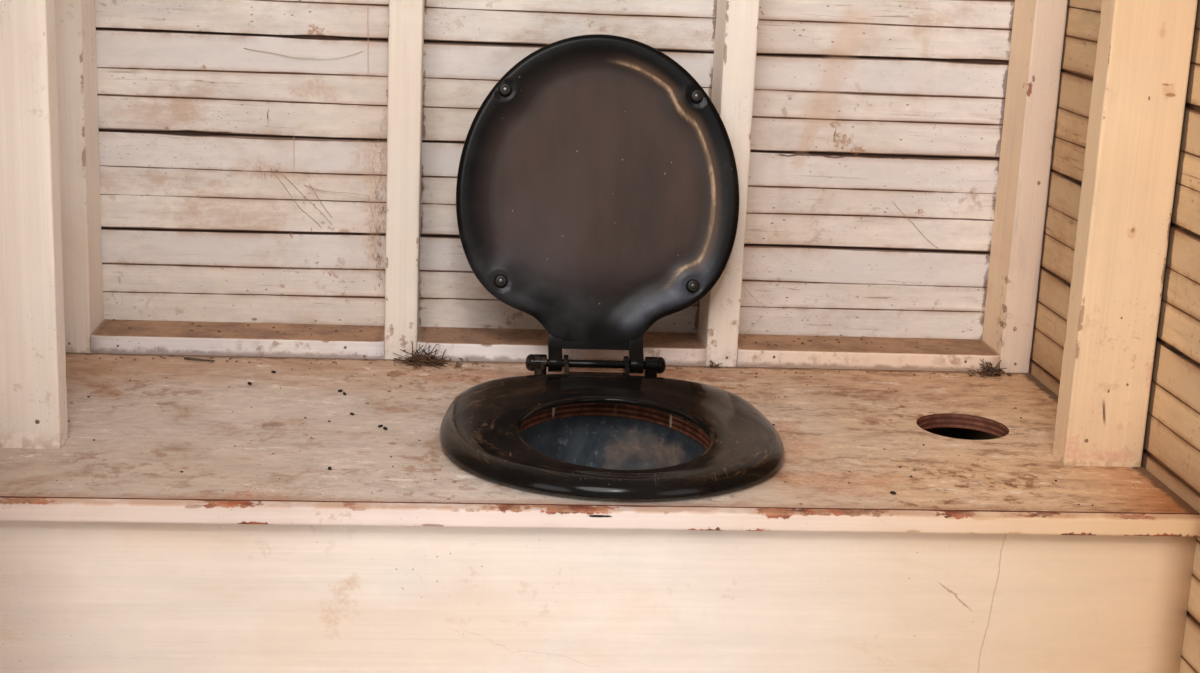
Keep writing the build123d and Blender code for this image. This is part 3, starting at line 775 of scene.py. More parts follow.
def smooth(a, b, x):
    t = min(max((x - a) / (b - a), 0.0), 1.0)
    return t * t * (3 - 2 * t)


def section(w, h, r, step):
    """Rounded rectangle outline with support points, and how near each point is to a corner."""
    pts = []
    for cx, cy, a0 in ((w - r, h - r, 0), (r, h - r, 90), (r, r, 180), (w - r, r, 270)):
        pts += [(x, y, 1.0) for x, y in arc(r, a0, a0 + 90, 3, cx, cy)]
        x1, y1, _ = pts[-1]
        a = math.radians(a0 + 90)
        tx, ty = -math.sin(a), math.cos(a)
        run = (w if abs(tx) > 0.5 else h) - 2 * r
        n = max(2, int(run / step))
        marks = [0.0012, 0.005] + [run * k / n for k in range(1, n)] + [run - 0.005, run - 0.0012]
        for s in sorted(set(min(max(v, 0.001), run - 0.001) for v in marks)):
            pts.append((x1 + tx * s, y1 + ty * s, max(0.0, 1 - min(s, run - s) / 0.007)))
    return pts


# the sides that meet the siding stand off it a little, as old studs do
STAND_OFF = {"back_stud": (1, 1), "girt": (1, 1), "side_stud_left": (0, -1), "front_post_left": (0, -1),
             "side_stud_right": (0, 1), "front_post_right": (0, 1)}
STAND_OFF_BY = 0.0022
BOARD_STEP = 0.018      # length of one piece of a board's mesh
SLOW_BUMPS, QUICK_BUMPS = 6.0, 62.0


def plank(node, mat, radius=0.0028, rough=0.0006, seg=BOARD_STEP, seed=0):
    """A board with worn, slightly uneven edges, inside the box of its CAD node."""
    lo, hi = (v.copy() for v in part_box(node))
    for start, (axis, way) in STAND_OFF.items():
        if node.startswith(start):
            (hi if way > 0 else lo)[axis] -= way * STAND_OFF_BY
    size = hi - lo
    ax = max(range(3), key=lambda i: size[i])
    u, v = [i for i in range(3) if i != ax]
    w, h = size[u], size[v]
    sec = section(w, h, min(radius, 0.3 * min(w, h)), 0.02)
    n = max(2, int(size[ax] / seg))
    verts, wear, off = [], [], Vector((seed * 3.1, seed * 1.7, seed * 2.3))
    for k in range(n + 1):
        for a, b, e in sec:
            p = [0.0] * 3
            p[ax], p[u], p[v] = size[ax] * k / n, a, b
            q = Vector(p)
            slow, quick = noise.noise(q * SLOW_BUMPS + off), noise.noise(q * QUICK_BUMPS + off)
            d = rough * (0.35 + 0.35 * slow) + 0.0016 * e * max(0.0, quick - 0.15)
            p[u] += d * math.copysign((abs(w / 2 - a) / (w / 2)) ** 3, w / 2 - a)
            p[v] += d * math.copysign((abs(h / 2 - b) / (h / 2)) ** 3, h / 2 - b)
            verts.append(Vector(p) + lo)
            wear.append(e * (0.8 + 0.6 * max(0.0, quick)))
    ob = make(node + "_board", verts, tube_faces(n + 1, len(sec)), mat,
              attrs={"wear": wear, "tone": [rng.random()] * len(verts), "joint": [0.0] * len(verts)})
    for p in ob.data.polygons:
        if len(p.vertices) > 4:
            p.use_smooth = False
    place(ob, "bay", SLOT[node], node)


BOARDS = {
    "back_stud_1": "stud", "back_stud_2": "stud", "back_stud_3": "stud", "back_stud_4": "corner",
    "side_stud_left": "stud", "side_stud_right": "post", "front_post_left": "stud",
    "front_post_right": "post", "girt_left": "girt", "girt_middle": "girt", "girt_right": "girt",
    "bench_nosing": "nosing", "bench_bearer_back": "raw_x", "sill_back": "raw_x", "sill_bench": "raw_x",
    "plate_back": "stud", "plate_left": "stud", "plate_right": "stud", "sill_left": "raw_y",
    "sill_right": "raw_y", "bench_ledger_left": "raw_y", "bench_ledger_right": "raw_y",
    "bench_joist_left": "raw_y", "bench_joist_right": "raw_y",
}
SLOT = {n["node"]: n["material_slot"] for n in frame["record"]["subparts"]}
for i, (node, key) in enumerate(BOARDS.items()):
    plank(node, MAT[key], seed=i)
for i, node in enumerate(sorted(n for n in frame["nodes"] if n.startswith("corner_board"))):
    plank(node, MAT["trim"], radius=0.0018, seed=40 + i)
plank("bench_riser", MAT["riser"], radius=0.001, rough=0.0003, seg=0.04, seed=60)

# a groove in rows: mm deep, mm up from its middle, crack, near, and share of the change of grey, the painted
# shade under a joint
GROOVE = ((0, -7, 0, 0, 0), (0, -3.5, 0, 0.35, 0.1), (0, -1.1, 0.25, 0.9, 0.3), (0.25, -0.55, 0.7, 1, 0.4),
          (1.6, 0, 1, 1, 0.5), (0.25, 0.55, 0.7, 1, 0.6), (0, 1.1, 0.25, 0.9, 0.7), (0, 3.5, 0, 0.35, 0.9),
          (0, 7, 0, 0, 1))
# mm up a course: the two grooves, the middle between them, and where the seams' own drift ends
GROOVE_1, GROOVE_2, BETWEEN, SEAM_BELOW, SEAM_ABOVE = 44, 81, 62, 22, 104
DRIFT, SHAKE = 0.0022, 0.0004


def groove(z, low, high):
    """A V groove at z mm with its fringe, its grey going from low to high."""
    return [(d, z + dz, crack, 0, near, low + (high - low) * t, 0) for d, dz, crack, near, t in GROOVE]


# the profile of one course in rows: mm deep, mm up, crack, joint, near, grey (the painted shade under the
# joint), outside
BOARD = [
    (4.0, 1.4, 1, 1, 1, 0, 0), (0.5, 0.4, 1, 1, 1, 0, 0), (0, 1.1, 0.5, 0.5, 1, 0, 0),
    (0, 3.6, 0.1, 0.1, 0.6, 0, 0), (0, 9, 0, 0, 0.1, 0, 0), (0, 22, 0, 0, 0, 0, 0),
    *groove(GROOVE_1, 0, 0), (0, BETWEEN, 0, 0, 0, 0, 0), *groove(GROOVE_2, 0, 1),
    (0, 104, 0, 0, 0, 0.95, 0), (0, 118, 0, 0, 0.1, 0.95, 0), (0, 124.0, 0.05, 0.1, 0.55, 1, 0),
    (0, 127.6, 0.4, 0.5, 1, 1, 0), (0.3, 128.2, 0.9, 1, 1, 1, 0), (1.2, 128.6, 1, 1, 1, 1, 0),
    (4.4, 128.6, 1, 1, 1, 0, 0), (4.4, 130.8, 1, 1, 1, 0, 0),
    (9.0, 130.8, 0, 1, 0, 0, 1), (9.2, 129.6, 0, 1, 0, 0, 1), (10, 112, 0, 0, 0, 0, 1),
    (11.3, 107.5, 0, 0, 0, 0, 1), (13, 104, 0, 0, 0, 0, 1), (17.6, 98.6, 0, 0, 0, 0, 1),
    (18, 97.6, 0, 0, 0, 0, 1), (18, 60, 0, 0, 0, 0, 1), (18, 30, 0, 0, 0, 0, 1), (18, 1.6, 0, 0.2, 0, 0, 1),
    (17.4, 0.3, 0, 1, 0, 0, 1), (9.6, 0.3, 0, 1, 0, 0, 1), (9.6, 1.4, 0, 1, 0, 0, 1),
]


def siding(node, inside, outside, run, face, sign, along, open_up):
    """One worn board a course. run: (low, high) along the wall; face: inside plane; sign: which way is
    out; open_up: gap by course and place."""
    verts, faces, face_mats = [], [], []
    at = {k: [] for k in ("wear", "tone", "crack", "joint", "near", "grey")}
    n = int((run[1] - run[0]) / BOARD_STEP)
    for k in range(-1, int((FRAME_H - COURSE_0) // COURSE) + 1):
        bottom = COURSE_0 + k * COURSE
        prof = []
        for d, z, *rest in BOARD:
            q = (d, min(max(z * MM + bottom, 0.0), FRAME_H), *rest, z)
            if not prof or abs(q[0] - prof[-1][0]) + abs(q[1] - prof[-1][1]) > 1e-6:
                prof.append(q)
        if max(q[1] for q in prof) - min(q[1] for q in prof) < 0.004:
            continue
        base, c = len(verts), len(prof)
        tones = [rng.random() for _ in range(3)]
        off = Vector((k * 3.3, sign * 2.1, 0.4 + face))
        for s in range(n + 1):
            t = run[0] + (run[1] - run[0]) * s / n
            upper, lower = open_up(k, t, off), open_up(k + 1, t, off + Vector((0, 7, 0)))
            # old boards aren't quite straight: each seam and groove drifts a little
            drift = [DRIFT * noise.noise(Vector((t * 2.3, (k + q) * 5.7, face * 9)))
                     for q in (0, 0.3, 0.6, 1)]
            for d, z, crack, joint, near, grey, o, level in prof:
                inner = 0.001 < z < FRAME_H - 0.001 and not o
                if inner and level < SEAM_BELOW:
                    z += upper * smooth(6, 2, level) + drift[0] * smooth(SEAM_BELOW, 8, level)
                elif inner and level > SEAM_ABOVE:
                    shut = 0 if level > 130 else 1
                    z += drift[3] * smooth(SEAM_ABOVE, 118, level) - lower * smooth(122, 126, level) * shut
                elif inner:
                    shake = SHAKE * noise.noise(Vector((t * 11, level, 0)) + off)
                    z += drift[1 if level < BETWEEN else 2] + shake
                w = noise.noise(Vector((t * 5, z * 30, 0)) + off)
                p = [0.0, 0.0, min(max(z, 0.0), FRAME_H)]
                deep = min(max(d * MM + 0.0003 * (w + 1) * (1 if d < 9 else -1), 0.0), SIDING_T)
                p[along], p[1 - along] = t, face + sign * deep
                verts.append(p)
                tone = tones[0 if level < GROOVE_1 else 1 if level < GROOVE_2 else 2]
                for key, v in zip(at, (0.35 * joint, tone, crack, joint, near, grey)):
                    at[key].append(v)
        faces += tube_faces(n + 1, c, base, caps=False)
        face_mats += [1 if prof[i][6] and prof[(i + 1) % c][6] else 0 for i in range(c)] * n
        faces += [tuple(range(base, base + c)), tuple(range(base + n * c, base + n * c + c))]
        face_mats += [1, 1]
    ob = make(node + "_boards", verts, faces, [inside, outside], smooth=False, attrs=at, face_mats=face_mats)
    place(ob, "bay", "siding_paint", node)


def gaps(*wide):
    """Half openings of the joints in metres: a wandering seam, and wider places (course, from, to, more)."""
    def at(k, t, off):
        v = 0.0007 * max(0.0, noise.noise(Vector((t * 3.5, k * 1.7, 0)) + off))
        v += 0.0005 * max(0.0, noise.noise(Vector((t * 19, k, 3)) + off))
        for course, a, b, more in wide:
            if k == course:
                v += more * smooth(a - 0.02, (a + b) / 2, t) * smooth(b + 0.02, (a + b) / 2, t)
        return v
    return at


siding("siding_back", MAT["siding_back"], MAT["outside_x"], (-HALF_W - SIDING_T, HALF_W + SIDING_T),
       BACK_Y, 1, 0, gaps((6, -0.36, -0.28, 0.0012), (5, -0.52, -0.45, 0.0014), (6, 0.53, 0.63, 0.0016),
                          (5, 0.28, 0.48, 0.0008), (4, -0.2, 0.1, 0.0006), (7, 0.24, 0.4, 0.0008)))
siding("siding_right", MAT["siding_right"], MAT["outside_y"], (FRONT_Y, BACK_Y),
       HALF_W, 1, 1, gaps(*[(k, -0.55, 0.5, 0.0011) for k in range(1, 14)],
                          *[(k, -0.25 + 0.07 * (k % 3), 0.45, 0.0009) for k in range(2, 9)]))
siding("siding_left", MAT["siding_left"], MAT["outside_y"], (FRONT_Y, BACK_Y),
       -HALF_W, -1, 1, gaps((4, 0.0, 0.4, 0.001)))

# bench top and chute keep their solids
for node, key in (("bench_top", "bench"), ("drop_chute", "chute")):
    ob = frame["nodes"][node]
    ob.data.materials.clear()
    ob.data.materials.append(MAT[key])

# seat ring: a hollow moulding, thin at the inner edge and fat at the outer one
RING_Z, RING_T = BENCH_Z + 0.006, 0.02
OPEN = Vector((0, -0.006))
OPEN_HALF_W, OPEN_HALF_L = 0.105, 0.134
RING_HALF, RING_FRONT, RING_BACK, WIDEST = 0.193, -0.182, 0.254, 0.006
half_ring = [(x * RING_HALF, WIDEST - y * (WIDEST - RING_FRONT)) for x, y in (
    (0, 1), (0.5, 0.866), (0.866, 0.5), (1, 0))]
half_ring += [(x * RING_HALF, WIDEST + y * (RING_BACK - WIDEST)) for x, y in (
    (0.965, 0.42), (0.86, 0.7), (0.66, 0.88), (0.36, 0.975), (0.0, 1.0))]
outer = closed_line(mirrored(half_ring), 400)
# i, o: mm from the inner or the outer edge, s: share of the width; then mm above the underside
RING = (("i", 0, 14.2), ("i", .4, 16.2), ("i", 1.8, 18.4), ("i", 4.5, 19.6), ("i", 8, 20), ("s", .45, 19.5),
        ("o", 22, 18.8), ("o", 14, 17.4), ("o", 8, 14.6), ("o", 4, 11.2), ("o", 1.4, 7), ("o", .2, 3.6),
        ("o", 0, 1.8), ("o", .6, .5), ("o", 2, 0), ("o", 6, 0), ("o", 8, .5), ("o", 9, 1.8), ("o", 9.3, 9),
        ("o", 10.5, 11.4), ("o", 13, 12.2), ("s", .5, 12.2), ("i", 6, 12.2), ("i", 2.2, 12.0),
        ("i", .7, 12.6))
RING_STEPS, RING_POINTS = 240, 75
INSIDE = 0.0003         # how far a mesh stays inside its CAD outline
verts, inner = [], []
for a in turn(RING_STEPS):
    r_in = 1 / math.sqrt((math.cos(a) / OPEN_HALF_W) ** 2 + (math.sin(a) / OPEN_HALF_L) ** 2)
    wide = reach(outer, OPEN, a) - INSIDE - r_in
    line = [({"i": d * MM, "o": wide - d * MM, "s": d * wide}[k], z * MM) for k, d, z in RING]
    for q in closed_line(line, RING_POINTS):
        r = r_in + min(max(q.x, 0.0), wide)
        verts.append((SEAT_X + OPEN.x + r * math.cos(a), OPEN.y + r * math.sin(a),
                      RING_Z + min(max(q.y, 0.0), RING_T)))
        inner.append(smooth(0.007, 0.001, q.x) if q.y > 0.0135 else 0.0)
place(make("seat_ring_moulding", verts, tube_faces(RING_STEPS, RING_POINTS, closed=True), MAT["ring"],
           attrs={"inner": inner}), "seat", "seat_black", "seat_ring")


def rounded(w, l, r, n=6):
    """Corner-rounded rectangle about the origin."""
    x, y = w / 2 - r, l / 2 - r
    return [p for cx, cy, a in ((x, y, 0), (-x, y, 90), (-x, -y, 180), (x, -y, 270))
            for p in arc(r, a, a + 90, n, cx, cy)]


def eased(a, b, ease, part):
    """Rows from a to b, and how far the outline is drawn in at each."""
    return [(a, ease), (a + ease * part, ease * part), (a + ease, 0),
            (b - ease, 0), (b - ease * part, ease * part), (b, ease)]


def slab(name, outline, centre, z0, z1, mat, ease=0.0012):
    """An upright block of one outline with eased edges."""
    verts = []
    for z, k in eased(z0, z1, ease, 0.35):
        for x, y in outline:
            r = math.hypot(x, y) or 1.0
            verts.append((centre[0] + x * (1 - k / r), centre[1] + y * (1 - k / r), z))
    ob = make(name, verts, tube_faces(6, len(outline)), mat)
    ob.data.set_sharp_from_angle(angle=math.radians(50))
    return ob


def drum(name, outline, x0, x1, mat, bore=0.0, swing=0.0, ease=0.0015):
    """An outline of (back, up) about the hinge line, run from x0 to x1 beside the seat line, with a bore
    for the rod."""
    pts = [Vector(p) for p in outline]
    o = Vector((0, 0)) if bore else sum(pts, Vector((0, 0))) / len(pts)
    angles = turn(72) + [math.atan2(*(p - o).yx) % (2 * math.pi) for p in pts]
    rim = [(a, reach(pts, o, a)) for a in sorted(set(round(a, 5) for a in angles))]
    rows = eased(x0, x1, ease, 0.3)
    if bore:
        rows = [(x0, None)] + rows + [(x1, None)]
    verts = []
    for x, k in rows:
        for a, r in rim:
            r = bore if k is None else r - k
            back, up = o.x + r * math.cos(a), o.y + r * math.sin(a)
            verts.append((HINGE.x + x, HINGE.y + back * math.cos(swing) - up * math.sin(swing),
                          HINGE.z + back * math.sin(swing) + up * math.cos(swing)))
    c = len(rim)
    faces = tube_faces(len(rows), c, caps=not bore)
    if bore:
        last = (len(rows) - 1) * c
        faces += [(last + i, last + (i + 1) % c, (i + 1) % c, i) for i in range(c)]
    ob = make(name, verts, faces, mat)
    ob.data.set_sharp_from_angle(angle=math.radians(38))
    return ob


def join(name, objs):
    """One object from several."""
    bm, mats = bmesh.new(), []
    for o in objs:
        start, slots = len(bm.faces), []
        for mt in o.data.materials:
            if mt not in mats:
                mats.append(mt)
            slots.append(mats.index(mt))
        bm.from_mesh(o.data)
        bm.faces.ensure_lookup_table()
        for f in list(bm.faces)[start:]:
            f.material_index = slots[f.material_index]
    me = bpy.data.meshes.new(name)
    bm.to_mesh(me)
    bm.free()
    for mt in mats:
        me.materials.append(mt)
    for o in objs:
        bpy.data.objects.remove(o)
    return link(name, me)


BORE, KNUCKLE = 0.0054, 0.0109
BOSS_TOP = RING_Z + 0.013
bosses = [slab("boss", rounded(0.03, 0.02, 0.006), foot, RING_Z, BOSS_TOP, MAT["hinge"]) for foot in FEET]
bosses.append(slab("boss", rounded(0.08, 0.027, 0.003), (SEAT_X, 0.2395), RING_Z + 0.0006, BOSS_TOP,
                   MAT["hinge"]))
bosses += [slab("rib", rounded(0.004, 0.085, 0.001, 2), (SEAT_X + x, 0.19), RING_Z + 0.004, BOSS_TOP,
                MAT["hinge"], 0.0005) for x in (-0.04, 0.04)]
place(join("seat_ring_bosses", bosses), "seat", "seat_black")
lugs = [drum("seat_ring_tab", [(-0.04, -0.017), (0.0055, -0.017), (0.0055, -0.012), (-0.04, -0.012)],
             -0.0405, 0.0405, MAT["hinge"], ease=0.001)]
lugs += [drum("lug", [(-0.036, -0.017), (0.005, -0.017), *arc(KNUCKLE, -18.6, 129.8), (-0.036, -0.012)],
              *sorted((s * 0.0352, s * 0.0408)), MAT["hinge"], BORE, ease=0.0008) for s in (-1, 1)]
place(join("seat_ring_lugs", lugs), "seat", "seat_black")

# the lid, shaped lying flat and then swung open
LID_Z0 = RING_Z + RING_T + 0.0065 - HINGE.z
LID_T, DISH = 0.014, 0.0051
half_lid = [(s * 0.181, d) for s, d in (
    (0.0, 0.42), (0.5, 0.392), (0.866, 0.315), (1.0, 0.208), (0.93, 0.136), (0.8, 0.096), (0.6, 0.07),
    (0.4, 0.052), (0.34, 0.04), (0.24, 0.031), (0.0, 0.029))]
lid_line = closed_line(mirrored(half_lid), 520)
RIM = np.array([p for p in lid_line if p.y > 0.036])
BUMPS = [(s * 0.122, d) for s in (-1, 1) for d in (0.344, 0.102)]
PAD_R, PAD_BLEND, PAD_FILL = 0.0085, 0.016, 0.004     # of the flats under the pads


def lid_point(u, d, high):
    """Lid coordinates: across, away from the hinge, and height above the face that meets the ring."""
    y, z = -d, LID_Z0 + high
    c, s = math.cos(-LID_OPEN), math.sin(-LID_OPEN)
    return (HINGE.x + u, HINGE.y + y * c - z * s, HINGE.z + y * s + z * c)


def round_over(e, r):
    """How far an edge of radius r falls away at a distance e from it, as a share of r."""
    return 1 - math.sqrt(max(0.0, 1 - (1 - min(e / r, 1.0)) ** 2))


def lid_form(u, d, edge):
    """Height of the inner face above its highest plane, and the distance from the rim and the pads."""
    e = float(np.min(np.hypot(RIM[:, 0] - u, RIM[:, 1] - d)))
    pad = 0.0
    for bu, bd in BUMPS:
        away = math.hypot(u - bu, d - bd)
        near = away + PAD_R
        k = max(PAD_BLEND - abs(e - near), 0.0) / PAD_BLEND
        e = min(e, near) - k * k * PAD_FILL
        pad = max(pad, smooth(0.0135, 0.0105, away))
    dish = 0.35 * smooth(0.003, 0.034, e) + 0.65 * smooth(0.014, 0.052, e)
    dish *= 1 - 0.42 * smooth(0.09, 0.045, d)
    return DISH * dish + 0.0052 * round_over(edge, 0.0075) * smooth(0.044, 0.06, d) + 0.001 * pad, e


LID_STEPS, LID_ROWS = 300, 64
# the rubbed line is also a painted highlight, and the sheen line is a painted reflection
RUB_HIGHLIGHT_LINE, HALO, SHEEN = 0.0335, 0.0315, 0.021     # distances of the lines on the inner face from the rim
centre = Vector((0, 0.215))
radii = [(a, reach(lid_line, centre, a) - INSIDE) for a in turn(LID_STEPS)]
shares = [math.sin(math.pi / 2 * k / LID_ROWS) ** 0.9 for k in range(1, LID_ROWS + 1)]
rows = [("in", s) for s in shares] + [("edge", 1.0)] + [("out", s) for s in shares[::-1]]
verts, at = [], {k: [] for k in ("flat", "rub", "halo", "sheen")}
for side, s in rows:
    for a, r in radii:
        u, d = centre.x + r * s * math.cos(a), centre.y + r * s * math.sin(a)
        edge, values = r * (1 - s), [0.0] * 4
        if side == "in":
            high, core = lid_form(u, d, edge)
            on = smooth(0.0, 0.06, u) * smooth(0.09, 0.13, d)
            # where the painted sheen goes, at the lower right
            gleam = smooth(0.01, 0.045, u) * smooth(0.15, 0.095, d) * smooth(0.034, 0.06, d)
            values = [smooth(0.014, 0.07, core) * smooth(0.05, 0.16, d),
                      # the rubbed line, also a painted highlight, and its halo
                      smooth(0.003, 0.0006, abs(core - RUB_HIGHLIGHT_LINE)) * on,
                      smooth(0.012, 0.001, abs(core - HALO)) * on,
                      smooth(0.017, 0.002, abs(core - SHEEN)) * gleam]
        elif side == "edge":
            high = LID_T / 2
        else:
            high = LID_T - 0.0012 * (1 - smooth(0.0, 0.03, edge)) - 0.0048 * round_over(edge, 0.007)
        verts.append(lid_point(u, d, high))
        for key, v in zip(at, values):
            at[key].append(v)
first = len(verts)
verts += [lid_point(centre.x, centre.y, DISH), lid_point(centre.x, centre.y, LID_T)]
for key in at:
    at[key] += [1.0 if key == "flat" else 0.0, 0.0]
faces = tube_faces(len(rows), LID_STEPS, caps=False)
last = (len(rows) - 1) * LID_STEPS
faces += [(first, (i + 1) % LID_STEPS, i) for i in range(LID_STEPS)]
faces += [(first + 1, last + i, last + (i + 1) % LID_STEPS) for i in range(LID_STEPS)]
place(make("lid_moulding", verts, faces, MAT["lid"], attrs=at), "lid", "seat_black", "lid")
top, low = LID_Z0 + LID_T - 0.001, LID_Z0 + 0.003
neck = [drum("neck", [(-0.0435, low), (-0.0184, low), (-0.0184, top), (-0.0435, top)], -0.0602, 0.0602,
             MAT["lid"], swing=-LID_OPEN, ease=0.0016)]
neck += [drum("ear", [(-0.024, low), (-0.006, -0.0092), *arc(KNUCKLE, -123, 57), (-0.02, top), (-0.04, top),
                      (-0.04, low)], *sorted((s * 0.0428, s * 0.0602)), MAT["lid"], BORE, -LID_OPEN, 0.0012)
         for s in (-1, 1)]
place(join("lid_neck_and_ears", neck), "lid", "seat_black")


def lathe(name, profile, origin, axis, mat, n=28):
    """profile: (distance along axis, radius) from one end to the other."""
    axis = Vector(axis).normalized()
    side = axis.orthogonal().normalized()
    other = axis.cross(side)
    verts = [Vector(origin) + axis * t + (side * math.cos(a) + other * math.sin(a)) * r
             for t, r in profile for a in turn(n)]
    ob = make(name, verts, tube_faces(len(profile), n), mat)
    ob.data.set_sharp_from_angle(angle=math.radians(40))
    return ob


inward = Vector(lid_point(0, 0.2, -1.0)) - Vector(lid_point(0, 0.2, 0.0))
PAD = ((0, 0.0088), (0.0022, 0.0088), (0.004, 0.0083), (0.0062, 0.0072), (0.007, 0.0062),
       (0.007, 0.0044), (0.0054, 0.004))
SCREW = ((0.005, 0.004), (0.006, 0.0039), (0.0067, 0.003), (0.007, 0.0014))
pads, screws = [], []
for bump in BUMPS:
    origin = lid_point(*bump, 0.0012)
    pads.append(lathe("pad", PAD, origin, inward, MAT["rubber"]))
    screws.append(lathe("screw", SCREW, origin, inward, MAT["screw"], 18))
place(join("lid_bumper_pads", pads), "lid", "bumper_rubber", "lid_bumpers")
place(join("lid_bumper_screws", screws), "lid", "bumper_rubber")
feet = [slab("foot", rounded(0.026, 0.016, 0.005), foot, BENCH_Z + 0.0004, BENCH_Z + 0.0062, MAT["rubber"])
        for foot in FEET]
place(join("seat_bumper_pads", feet), "seat", "bumper_rubber", "seat_bumpers")

place(lathe("hinge_rod_turned", [(0, 0.0046), (0.0005, 0.005), (0.1695, 0.005), (0.17, 0.0046)],
            (HINGE.x - 0.085, HINGE.y, HINGE.z), (1, 0, 0), MAT["hinge"]), "bay", "hinge_black", "hinge_rod")
CAP = ((0.0003, 0.01), (0.001, 0.0108), (0.0155, 0.0109), (0.0163, 0.0102), (0.017, 0.0102),
       (0.0178, 0.0109), (0.0205, 0.0107), (0.0232, 0.0096), (0.0252, 0.0076), (0.0264, 0.0048),
       (0.0269, 0.0018))
for s, side in ((-1, "left"), (1, "right")):
    barrel = lathe("barrel", CAP, (HINGE.x + s * 0.062, HINGE.y, HINGE.z), (s, 0, 0), MAT["hinge"], 36)
    pedestal = drum("pedestal", [(-0.01, -0.0272), (0.01, -0.0272), (0.0096, -0.004), (-0.0096, -0.004)],
                    *sorted((s * 0.0625, s * 0.0775)), MAT["hinge"])
    base = drum("base", [(-0.0205, -0.0278), (0.0205, -0.0278), (0.019, -0.0232), (-0.019, -0.0232)],
                *sorted((s * 0.0565, s * 0.0835)), MAT["hinge"])
    post = join("hinge_post_%s_moulding" % side, [barrel, pedestal, base])
    place(post, "bay", "hinge_black", "hinge_post_" + side)


def nails(name, spots, normal, r=0.0032, slot="stud_paint"):
    """Low domed heads, each barely proud of its board."""
    normal = Vector(normal)
    a = normal.orthogonal().normalized()
    b = normal.cross(a)
    verts, faces = [], []
    for p in spots:
        p = Vector(p) + normal * 0.00005
        k = r * rng.uniform(0.85, 1.1)
        faces += tube_faces(4, 10, len(verts))
        for proud, share in ((-0.0006, 1.0), (0.0002, 1.0), (0.0006, 0.72), (0.0008, 0.2)):
            verts += [p + normal * proud + (a * math.cos(t) + b * math.sin(t)) * k * share for t in turn(10)]
    place(make(name, verts, faces, MAT["nail"]), "bay", slot)


def jitter(s):
    return rng.uniform(-s, s)


def about(v, s):
    """v shifted at random by up to s; nothing is drawn where s is 0."""
    return v + jitter(s) if s else v


def grid(xs, ys, zs, sx=0, sy=0, sz=0):
    return [(about(x, sx), about(y, sy), about(z, sz)) for x in xs for y in ys for z in zs]


SIDING_ROWS = [COURSE_0 + k * COURSE + dz for k in range(13) for dz in (0.022, 0.074)]
TRIM_ROWS = [0.09 + 0.273 * k for k in range(7)]
JOISTS = (-0.131, 0.222)
SUNK = 0.0004
NAIL_OUT, TRIM_SIDE, TRIM_FACE = HALF_W + SIDING_T - SUNK, 0.6811, 0.5091
nails("nails_siding_back", grid(STUD_X[1:3], [BACK_Y + SIDING_T - SUNK], SIDING_ROWS, .008, 0, .003),
      (0, 1, 0), slot="siding_paint")
for side, s in (("left", -1), ("right", 1)):
    nails("nails_siding_" + side, grid([s * NAIL_OUT], (-0.0055, 0.3), SIDING_ROWS, 0, .006, .003),
          (s, 0, 0), slot="siding_paint")
    nails("nails_side_trim_" + side,
          grid([s * TRIM_SIDE], (-0.492, -0.446, 0.446, 0.488), TRIM_ROWS, 0, .006, .01), (s, 0, 0),
          slot="trim_paint")
    nails("nails_front_trim_" + side, grid((s * 0.578, s * 0.636), [-TRIM_FACE], TRIM_ROWS, .005, 0, .01),
          (0, -1, 0), slot="trim_paint")
nails("nails_back_trim", grid((-0.645, -0.6, 0.6, 0.645), [TRIM_FACE], TRIM_ROWS, .004, 0, .01), (0, 1, 0),
      slot="trim_paint")
nails("nails_bench", grid((-0.54, *JOISTS, 0.54), (-0.172, 0.358), [BENCH_Z - SUNK], .006, .005)
      + grid(JOISTS, (-0.1, 0.25), [BENCH_Z - SUNK], 0, .02), (0, 0, 1), 0.0024, "bench_ply")
nails("nails_riser", grid((-0.56, *JOISTS, 0.54), [RISER_Y + 0.0003], [0.085], .006, 0, .005), (0, -1, 0),
      slot="bench_paint")
NAIL_Y = [STUD_Y + SUNK]
nails("nails_studs", [p for x in STUD_X for p in grid([x], NAIL_Y, (0.452, 1.15 + jitter(.2)), .008)]
      + grid((-0.56, -0.27, 0.29, 0.56), NAIL_Y, [0.452], .008, 0, .003), (0, -1, 0), r=0.002)
nails("nails_side_studs", [(s * x, SIDE_STUD_Y + SUNK, z) for s in (-1, 1) for x, z in (
    (0.575, 0.47), (0.628, 1.21), (0.57, 1.5))], (0, -1, 0), r=0.0024)


def strands(name, runs, r, mat, slot, n=5, taper=0.5):
    """Thin crooked stalks, each through the points of a run."""
    verts, faces = [], []
    for pts in runs:
        thick = r * rng.uniform(0.7, 1.2)
        faces += tube_faces(len(pts), n, len(verts))
        for i, p in enumerate(pts):
            d = (Vector(pts[min(i + 1, len(pts) - 1)]) - Vector(pts[max(i - 1, 0)])).normalized()
            a = d.orthogonal().normalized()
            b = d.cross(a)
            k = thick * (1 - taper * i / len(pts))
            verts += [Vector(p) + (a * math.cos(t) + b * math.sin(t)) * k for t in turn(n)]
    place(make(name, verts, faces, mat), "bay", slot)


